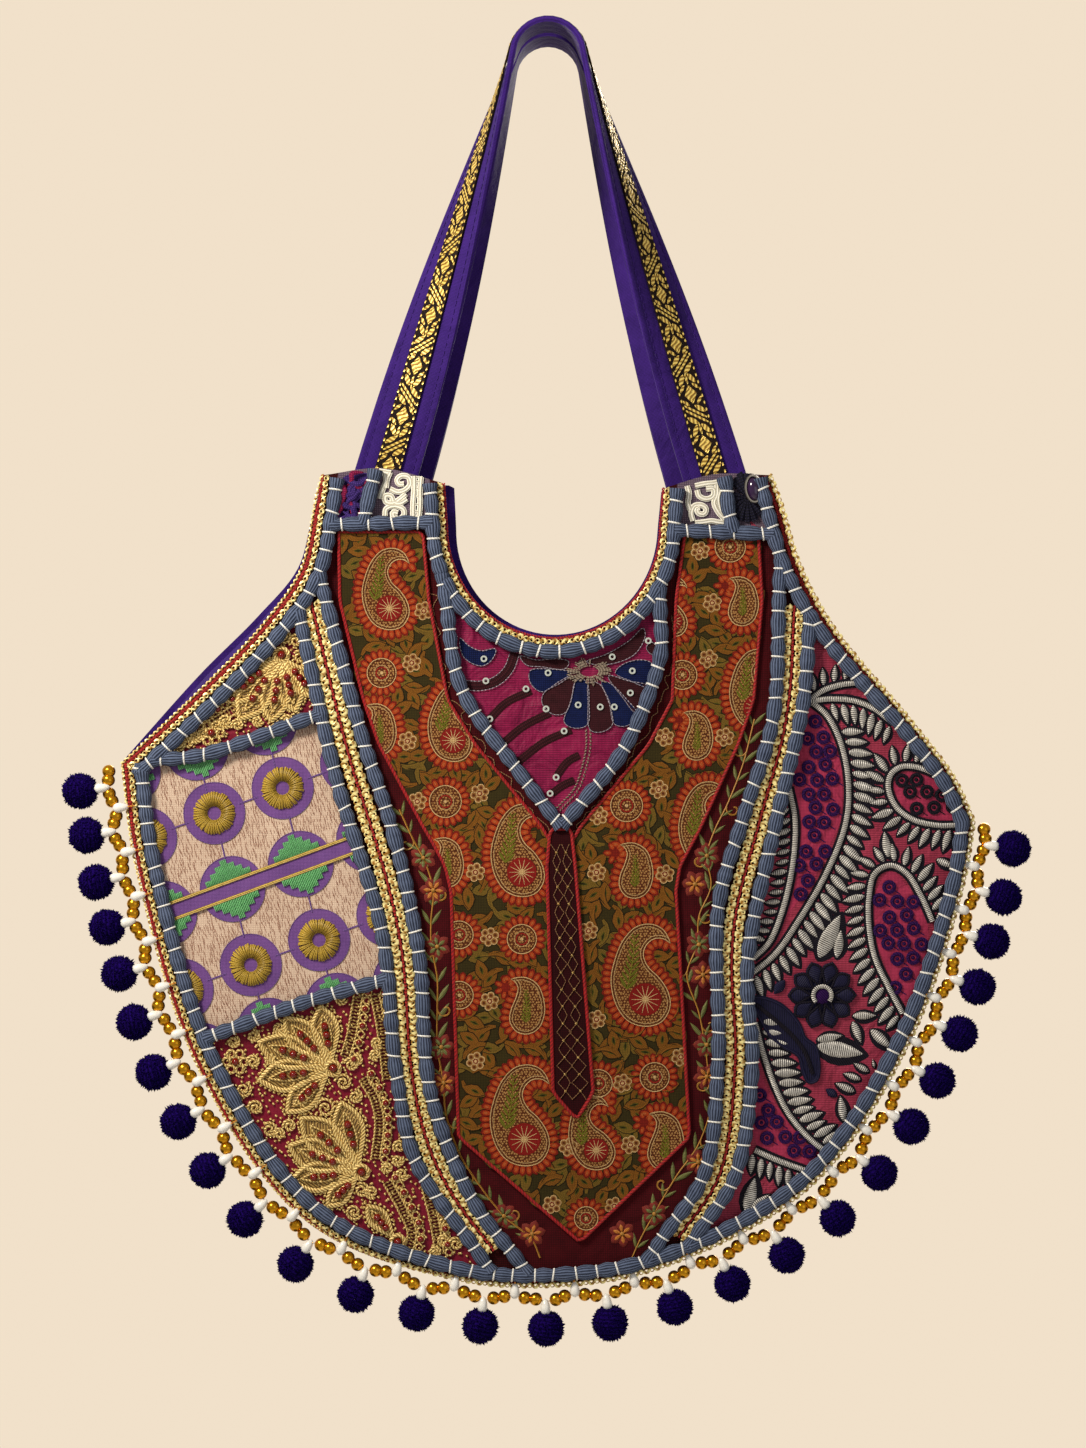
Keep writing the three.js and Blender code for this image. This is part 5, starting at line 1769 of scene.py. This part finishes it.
# Columns: side of the leaves, leaves left out at the start, length of a leaf, places on the spine.
SILVER_SPINES = [
    (1, 4, 11.2, [(132, -337), (139, -343), (145, -354), (149, -369), (150, -383), (149, -394), (146, -405),
        (137, -425), (125, -445), (113, -462), (102, -471)]),
    (-1, 0, 7.6, [(120, -379), (123, -395), (122, -416), (117, -439), (110, -456), (102, -464)]),
    (-1, 2, 9.4, [(131, -336), (142, -335), (153, -336), (163, -340), (172, -347)]),
    (1, 1, 8.6, [(130, -336), (137, -331), (146, -328), (154, -327)]),
    (1, 0, 10, [(206, -398), (194, -398), (182, -395), (174, -389), (170, -380), (171, -373), (176, -369),
        (184, -369), (194, -373), (200, -378)]),
    (-1, 0, 10, [(192, -446), (186, -433), (179, -422), (171, -418), (163, -422), (160, -434), (160, -448),
        (163, -464), (170, -479), (177, -492)]),
    (1, 0, 11.5, [(103, -496), (107, -511), (113, -528), (120, -542), (130, -554), (140, -562)]),
    (-1, 0, 9, [(103, -560), (114, -565), (130, -571)]),
]
# Columns: thread, places x and z round the field.
KNOT_FIELDS = [
    ("indigo", [(134, -341), (141, -352), (146, -367), (147, -383), (146, -396), (142, -405), (133, -424),
        (120, -442), (113, -454), (117, -439), (124, -416), (126, -396), (125, -394), (123, -378),
        (123, -367), (128, -352), (130, -341)]),
    ("dark", [(204, -396), (192, -395), (180, -391), (174, -383), (173, -376), (179, -372), (190, -374),
        (204, -383)]),
    ("indigo", [(190, -451), (183, -434), (171, -421), (163, -433), (163, -451), (168, -467), (178, -486),
        (186, -470)]),
    ("indigo", [(104, -520), (113, -536), (124, -549), (137, -565), (130, -568), (114, -562), (104, -557)]),
]
# Columns: x and z of the foot, x and z of the tip.
SILVER_LEAVES = [
    (135, -464, 145, -444), (144, -464, 146, -451), (134, -508, 156, -512), (134, -505, 146, -503),
    (152, -493, 163, -493), (152, -496, 156, -506), (161, -500, 171, -509), (163, -519, 162, -515),
    (156, -525, 148, -522), (153, -531, 144, -527), (160, -521, 153, -517), (148, -546, 146, -534),
    (99, -592, 103, -575), (100, -591, 110, -583), (99, -594, 103, -597), (170, -414, 168, -402),
    (194, -415, 203, -419),
]
# Columns of the leaf and its vein: x, z.
DARK_LEAF = [
    (102, -484), (108, -484), (117, -488), (125, -497), (128, -504), (133, -508), (135, -516), (134, -525),
    (130, -526), (127, -520), (125, -513), (117, -508), (111, -503), (106, -495),
]
DARK_VEIN = [(103.5, -487), (112, -494), (121, -502), (128, -511), (132, -522)]
# Columns: x, z, turn, length.
DARK_BUDS = [(138.5, -529.5, -0.6, 7.5), (112.5, -482, 0.9, 9.0)]
DARK_FLOWER = (136.6, -482.7)
DARK_PETALS = 10
rose_cut = patch_loop(patches["patch_right"])
print("rose seam", len(rose_cut), "points")

# %% [markdown]
# ## Silver and knots
# Each silver leaf lies on a wider black one, which edges it and, set lower and to the right, is also a
# painted shadow, and a spine carries a row of them at even steps.
# A knot is a closed ring with a dome inside it and a short tail.


# %% Silver and knots
def laid(line, wide, high, lift, paint, closed=False):
    return couched(line, wide, high, lift, paint, 7, rose_cut, closed)


def silver_leaves(feet, angles, sizes):
    keep = within(feet, rose_cut)
    feet, angles, sizes = feet[keep], angles[keep], sizes[keep]
    blade = leaf(1.06, 0.36, 0.42, 8, 0.85)
    # The black leaf is the black edging and, shifted 0.3 mm right and 0.5 mm down, a painted shadow on that
    # side.
    back = leaf(1.26, 0.68, 0.45, 8, 0.75) - (0.08, 0)
    return [
        copies(back, feet + (0.3, -0.5), 0.05, 0.25, black_thread, angles, sizes, rings=2, cut=rose_cut),
        copies(blade, feet, 0.3, 1.1, satin_silver, angles, sizes, rings=3, cut=rose_cut),
    ]


def silver_spine(hand, skip, size, points):
    line = smooth(points, 1.0)
    feet = evenly(shifted(line, hand * 2.2), 5.3)[skip:]
    away = sideways(feet) * hand
    swept = away + 0.35 * np.column_stack([away[:, 1], -away[:, 0]]) * hand
    angles = np.arctan2(swept[:, 1], swept[:, 0])
    made = silver_leaves(feet, angles, size * rng.uniform(0.85, 1.1, len(feet)))
    made.append(laid(line, 5.4, 0.8, 0.3, black_thread))
    made.append(laid(line, 2.7, 1.9, 0.9, zari_silver))
    return made


def coiled_knots(points, paint):
    loop = smooth(points, 1.5, closed=True)
    spots = grid_inside(loop, 8.2, 1.4)
    spots = spots + rng.normal(0, 0.5, spots.shape)
    spots = spots[within(spots, rose_cut)]
    rings = spots[:, None] + disc(2.7, 12)
    tails = spots[:, None] + [(2.6, -1.7), (5.4, -3.4)]
    return [
        filled(loop, 0.08, field_silk, rose_cut),
        couched(rings, 2.2, 1.5, 0.4, paint, 5, closed=True),
        copies(disc(1.0, 8), spots, 0.1, 0.9, paint, rings=2),
        couched(tails, 0.7, 0.5, 0.2, paint, 4, rose_cut),
    ]


rose_work = []
for hand, skip, size, points in SILVER_SPINES:
    rose_work += silver_spine(hand, skip, size, points)
for shade, points in KNOT_FIELDS:
    rose_work += coiled_knots(points, indigo_thread if shade == "indigo" else black_thread)
feet, tips = np.hsplit(np.array(SILVER_LEAVES, float), 2)
reach = tips - feet
rose_work += silver_leaves(feet, np.arctan2(reach[:, 1], reach[:, 0]), np.linalg.norm(reach, axis=1))
dark_leaf = smooth(DARK_LEAF, 1.5, closed=True)
rose_work.append(filled(dark_leaf, 1.0, midnight_floss, rose_cut, 4.0))
rose_work.append(laid(dark_leaf, 2.0, 1.6, 0.8, midnight_floss, closed=True))
rose_work.append(laid(smooth(DARK_VEIN, 1.5), 2.2, 1.4, 1.3, black_thread))
for x, z, turn, long in DARK_BUDS:
    rose_work.append(copies(leaf(long, long * 0.6), [(x, z)], 0.4, 1.4, midnight_floss, turn, rings=3))
petal_turn = spokes(DARK_PETALS)
petal_at = 4.0 * polar(petal_turn) + DARK_FLOWER
petal, hem = leaf(13.5, 8.6, 0.66, 14), leaf(12.6, 7.2, 0.66, 14)
hems = [turned(hem, at, turn) for at, turn in zip(petal_at, petal_turn)]
crescent = polar(np.linspace(-0.7, 3.9, 18)) * 4.6 + DARK_FLOWER
rose_work += [
    copies(petal, petal_at, 0.2, 1.7, midnight_floss, petal_turn, rings=3),
    couched(hems, 1.2, 1.2, 1.1, black_thread, closed=True),
    copies(disc(10.0, 24), [DARK_FLOWER], 0.05, 0.5, midnight_floss, rings=2),
    copies(disc(4.4, 18), [DARK_FLOWER], 1.2, 1.4, indigo_thread, rings=3),
    laid(crescent, 2.2, 1.6, 2.4, zari_silver),
]
make_piece("silver_work", rose_work)

# %% [markdown]
# ## Lace tabs
# Where the straps join, ivory corded lace lies on mauve net. A torn purple and crimson rag is tucked in on
# the left. On the right a gathered black flower holds a stone in a silver rim. Lace tape is a flat strand
# with its threads running lengthwise.

# %% Lace tabs
lace_thread = spun("ivory lace tape", "#c2bba4", "#faf7ea", 1.1, 0.75, 0.3, way="X")
# Each tape is the places x and z along its middle.
LACE = {
    "left": [
        [(-79, -230), (-75, -231.5), (-71.5, -230.5), (-69, -227.5), (-70, -224), (-73.5, -223.5),
            (-75.5, -225.5), (-74.5, -227.5), (-72, -227.5)],
        [(-71, -232.5), (-74, -235), (-77.5, -237), (-81, -236.5), (-81.5, -233.5), (-78.5, -233.5),
            (-77, -236.5), (-74, -237), (-70.5, -235)],
        [(-81.5, -243.5), (-81, -240), (-77, -238.5), (-72.5, -240), (-72, -243), (-74.5, -245),
            (-77.5, -243.5), (-77.5, -241.5), (-75, -242)],
        [(-81.5, -222), (-81, -226), (-82.5, -230), (-84, -235)],
        [(-79, -221.5), (-80.5, -225.5), (-81, -229.5)],
        [(-84.5, -221), (-81.5, -221.5), (-78.5, -222)],
        [(-67, -223.5), (-67, -230.5), (-67.5, -238), (-67.5, -244.5)],
        [(-63.5, -224), (-64, -230.5), (-64, -238), (-64.5, -244.5)],
    ],
    "right": [
        [(72.5, -246), (71.5, -242), (73, -238.5), (76.5, -238), (79, -240), (78, -242.5), (75, -242),
            (74.5, -240), (76, -240)],
        [(73.5, -247), (78, -246.5), (82, -246), (84.5, -246.5), (88.5, -247)],
        [(73.5, -228.5), (78, -227.5), (82.5, -227), (85, -226.5)],
        [(74.5, -230.5), (75.5, -233.5), (79, -235), (82.5, -233.5), (82.5, -230), (79, -230)],
        [(84.5, -227.5), (84.5, -232.5), (83, -237), (85, -241.5), (87.5, -244.5), (89, -247)],
        [(86, -230.5), (85, -235.5), (86, -240), (88, -243.5)],
        [(69.5, -228.5), (70.5, -232.5), (70, -237), (71, -240.5)],
    ],
}
# Columns: x, z.
LACE_RUNGS = [
    (-65.3, -224.2), (-65.3, -226.3), (-65.2, -229.8), (-65.3, -233.6), (-65.4, -237.8), (-65.6, -241.3),
    (-65.7, -244),
]
SHORT_CORDS = {
    "left": [(-86.3, -220.5), (-87.1, -224.8), (-88.6, -230.7), (-90, -237), (-92.5, -248)],
    "right": [(87.9, -224.2), (89.3, -230.7), (89.8, -238.9), (92.5, -252)],
}
tab_cuts = {side: patch_loop(patches["tab_" + side]) for side in ("left", "right")}
for side, cut in tab_cuts.items():
    work = [couched(smooth(points, 0.8), 3.0, 1.4, 0.6, lace_thread, 8, cut) for points in LACE[side]]
    if side == "left":
        rungs = np.array(LACE_RUNGS)[:, None] + [(-2.6, 0), (0, 0), (2.6, 0)]
        work.append(couched(rungs, 1.3, 1.0, 0.6, lace_thread, 6))
    make_piece("corded_lace_" + side, work)
    make_piece("short_cord_" + side, padded_cord(kept_inside(smooth(SHORT_CORDS[side]), cut)))

# %% [markdown]
# ## Rag, gathered flower and stone
# The rag is many short wandering strips, and the flower is a ring of folds that widen outwards. The stone is
# a padded oval of six rings, enough to shine like a dome.

# %% Rag, gathered flower and stone
rag_purple = woven("torn purple rag", "#1a1040", "#4c3480", 1.0, 0.85, 0.2, mottle=4)
rag_crimson = woven("torn crimson rag", "#4c0c30", "#9a1e4c", 1.0, 0.8, 0.2, mottle=4)
gathered_silk = woven("gathered black silk", "#05050c", "#1e1c34", 1.4, 0.7, 0.3)
RAG_AT = (-97.5, -230.1)
RAG_SHAPE = [(-102, -224), (-90, -222.5), (-92, -232), (-95, -245), (-104, -245), (-105, -232)]
RAG_STRIPS = 30
GATHER_AT = (99.4, -234.2)
GATHER_FOLDS = 17
ROSE_BIT = [(100.8, -245.4), (104.1, -248.4), (107.6, -249.9), (106.7, -252.5), (103.2, -250.7)]
STONE_AT = (102.7, -230.1)
STONE_LEAN = 0.12
rag_loop = smooth(RAG_SHAPE, 1.0, closed=True)
rag_work = [filled(rag_loop, 0.6, rag_purple, tab_cuts["left"], 3.0)]
t = np.linspace(0, 1, 14)
for number in range(RAG_STRIPS):
    start = rng.uniform((-6, -12), (6, 7)) + RAG_AT
    heading = rng.uniform(0, 2 * math.pi) + np.cumsum(rng.normal(0, 0.4, len(t)))
    line = start + np.cumsum(polar(heading), axis=0)
    lift = 0.8 + 1.2 * np.sin(math.pi * t) + rng.uniform(0, 1.4)
    wide = 2.6 * np.sin(math.pi * (0.08 + 0.84 * t))
    rag_work.append(couched(line, wide, 0.9, lift, rag_purple if number % 3 else rag_crimson, 7, rag_loop))
make_piece("torn_rag", rag_work)

right_cut = tab_cuts["right"]
gather_work = []
for spoke in spokes(GATHER_FOLDS):
    turn = spoke + rng.normal(0, 0.08)
    reach = np.linspace(1.0, 11.5 * rng.uniform(0.85, 1.08), 8)
    line = np.outer(reach, polar(turn) * (0.85, 1.15)) + GATHER_AT
    lift = 0.4 + 1.6 * np.sin(np.linspace(0.9, 2.6, 8))
    gather_work.append(couched(line, np.linspace(1.0, 3.6, 8), 1.9, lift, gathered_silk, 7, right_cut))
rose_bit = smooth(ROSE_BIT, 1.0, closed=True)
gather_work.append(filled(rose_bit, 0.5, rose_silk, right_cut, 3.0))
make_piece("gathered_flower", gather_work, ["rosette"])
stone_rim = turned(disc(1.0, 30) * (3.9, 6.6), STONE_AT, STONE_LEAN)
stone_work = [
    copies(disc(1.0, 24) * (3.3, 5.9), [STONE_AT], 2.6, 3.2, stone_purple, STONE_LEAN, rings=6),
    couched(stone_rim, 1.5, 2.4, 3.0, silver_rim, 8, closed=True),
]
make_piece("cabochon", stone_work, ["stone"])

# %% [markdown]
# ## Bead fringe
# The string zigzags along the lower edge. A white drop ties it up, two gilt beads lead out, a white drop
# carries a pompom, and two gilt beads lead back. Beads are turned spheres with a flattened hole end.

# %% Bead fringe
tie_thread = spun("orange tying thread", "#9c5410", "#e09a30", 0.8, 0.7, 0.1)
POMPOMS = 28
STRING_NEAR = 5.8
STRING_FAR = 9.0
DROP_FORWARD = 2.5
TIE_AT = 3.4
TIE_LIFT = 3.9
# How much closer the pompoms stand towards the two ends.
END_CROWD = 0.15
# Columns: place along the bead, radius.
DROP_BEAD = [
    (-4.4, 0.3), (-3.9, 1.1), (-2.2, 1.9), (-0.3, 2.4), (1.3, 2.5), (2.6, 2.1), (3.4, 1.2), (3.8, 0.3),
]
bead_turn = np.linspace(0.12, math.pi - 0.12, 9)
round_bead = polar(bead_turn) * (-3.3, 3.4)
bottom_s = run_of(bottom[:, :2])
bottom_way = -sideways(bottom)


def below(share, distance):
    share = np.asarray(share, float)
    s = (share - END_CROWD / (2 * math.pi) * np.sin(2 * math.pi * share)) * bottom_s[-1]
    foot, way = picked(s, bottom_s, bottom[:, :2]), picked(s, bottom_s, bottom_way)
    out = foot + way * np.reshape(distance, (-1, 1))
    y = inside(foot[:, 0], foot[:, 1]) - PATCH_AT
    return np.column_stack([out[:, 0], y, out[:, 1]]), np.column_stack([way[:, 0], 0 * y, way[:, 1]])


def turned_beads(places, ways, profile, paint, sides=12):
    profile = np.asarray(profile, float)
    other = unit(np.cross(ways, FORWARD))
    turn = spokes(sides)
    across, upward = polar(turn).T[..., None]
    ring = other[:, None] * across + np.cross(ways, other)[:, None] * upward
    rise, radius = profile.T[..., None, None]
    points = places[:, None, None] + ways[:, None, None] * rise + ring[:, None] * radius
    uv = np.tile(np.stack(np.broadcast_arrays(turn, profile[:, :1]), -1), (len(places), 1, 1, 1))
    return chunk(points, tube_faces(len(places), len(profile), sides)[:1], paint, uv)


knots = np.arange(2 * POMPOMS + 1) / (2 * POMPOMS)
ties = knots[2:-1:2]
knot_points, _ = below(knots, np.where(np.arange(len(knots)) % 2, STRING_FAR, STRING_NEAR))
leg = knot_points[1:] - knot_points[:-1]
bead_places = np.vstack([knot_points[:-1] + leg * share for share in (0.32, 0.68)])
bead_places += rng.normal(0, 0.25, bead_places.shape)
tie_points, tie_ways = below(ties, TIE_AT)
tie_points[:, 1] -= DROP_FORWARD
tie_stitches = np.stack([below(ties, distance)[0] for distance in (-4.2, -1.4, 0.8)], 1)
tie_stitches[:, :, 1] -= (TIE_LIFT, TIE_LIFT, DROP_FORWARD)
fringe = [
    strands(tie_stitches, 0.9, 0.7, tie_thread, 4),
    turned_beads(bead_places, np.vstack([unit(leg)] * 2), round_bead, bead_gold),
    turned_beads(tie_points, tie_ways, DROP_BEAD, bead_white),
    strands(evenly(knot_points, 3), 0.9, 0.9, white_thread, 5),
]
make_piece("gilt_bead_string", fringe, ["bead_string"])

# %% [markdown]
# ## Pompoms
# A pompom is hundreds of cut yarn ends that spring from one tie. Each end is a small three-sided spike,
# smooth shaded, round a soft core. Spreading the directions over a sphere and shaking them keeps the ball
# even but not clipped smooth.

# %% Pompoms
YARN_ENDS = 1000
YARN_THICK = 0.85
POMPOM_AT = 22.3
POMPOM_DROP = 11.6
POMPOM_RADIUS = 9.4
POMPOM_CORE = 8.5
GOLDEN = math.pi * (3 - math.sqrt(5))
SPIKE = np.array([(0, 1, 3), (1, 2, 3), (2, 0, 3), (0, 2, 1)])
SPIKE_UV = [(0, 0), (0.6, 0), (1.2, 0), (0.6, 1.6)]
core = polar(np.linspace(0.05, math.pi - 0.05, 9)) * (-POMPOM_CORE, POMPOM_CORE)


def pompom_yarn(centre):
    k = np.arange(YARN_ENDS) + 0.5
    tilt = np.arccos(1 - 2 * k / YARN_ENDS)
    ways = np.column_stack([polar(GOLDEN * k) * np.sin(tilt)[:, None], np.cos(tilt)])
    ways = unit(ways + rng.normal(0, 0.05, ways.shape))
    one = unit(np.cross(ways, rng.normal(0, 1, ways.shape)))
    two = np.cross(ways, one)
    root = centre + ways * (POMPOM_CORE - 0.6)
    tips = centre + ways * (POMPOM_RADIUS * rng.uniform(0.93, 1.03, YARN_ENDS))[:, None]
    tips += rng.normal(0, 0.35, tips.shape)
    feet = [root + YARN_THICK * (one * math.cos(turn) + two * math.sin(turn)) for turn in spokes(3)]
    faces = (np.arange(YARN_ENDS)[:, None, None] * len(SPIKE) + SPIKE).reshape(-1, 3)
    uv = np.tile(SPIKE_UV, (YARN_ENDS, 1)) + np.repeat(k, len(SPIKE_UV))[:, None] * UV_DRIFT
    return chunk(np.stack(feet + [tips], 1), [faces], indigo_wool, uv)


for i in range(POMPOMS):
    share = [(i + 0.5) / POMPOMS]
    centre, way = below(share, POMPOM_AT)
    drop, _ = below(share, POMPOM_DROP)
    drop[:, 1] -= DROP_FORWARD
    chunks = [
        pompom_yarn(centre[0]),
        turned_beads(centre, way, core, indigo_wool, 14),
        turned_beads(drop, way, DROP_BEAD, bead_white),
    ]
    number = "%02d" % (i + 1)
    make_piece("yarn_pompom_" + number, chunks, ["pompom_" + number], crease=180)

# %% [markdown]
# ## Floor
# A pale disc far below stands for the studio floor. It is part of the stage and not of the bag.

# %% Floor
FLOOR_Z = -1300
FLOOR_RADIUS = 1500
FLOOR_SIDES = 64
floor_paint = woven("pale studio floor", "#d8d4cc", "#e4e0d8", 4, 0.9, 0.0)
floor_mesh = bpy.data.meshes.new("floor")
floor_spots = [(x * MM, y * MM, FLOOR_Z * MM) for x, y in disc(FLOOR_RADIUS, FLOOR_SIDES)]
floor_mesh.from_pydata(floor_spots, [], [list(range(FLOOR_SIDES))])
floor_mesh.materials.append(floor_paint)
floor = bpy.data.objects.new("floor", floor_mesh)
bpy.context.collection.objects.link(floor)
print("floor at", FLOOR_Z, "mm")
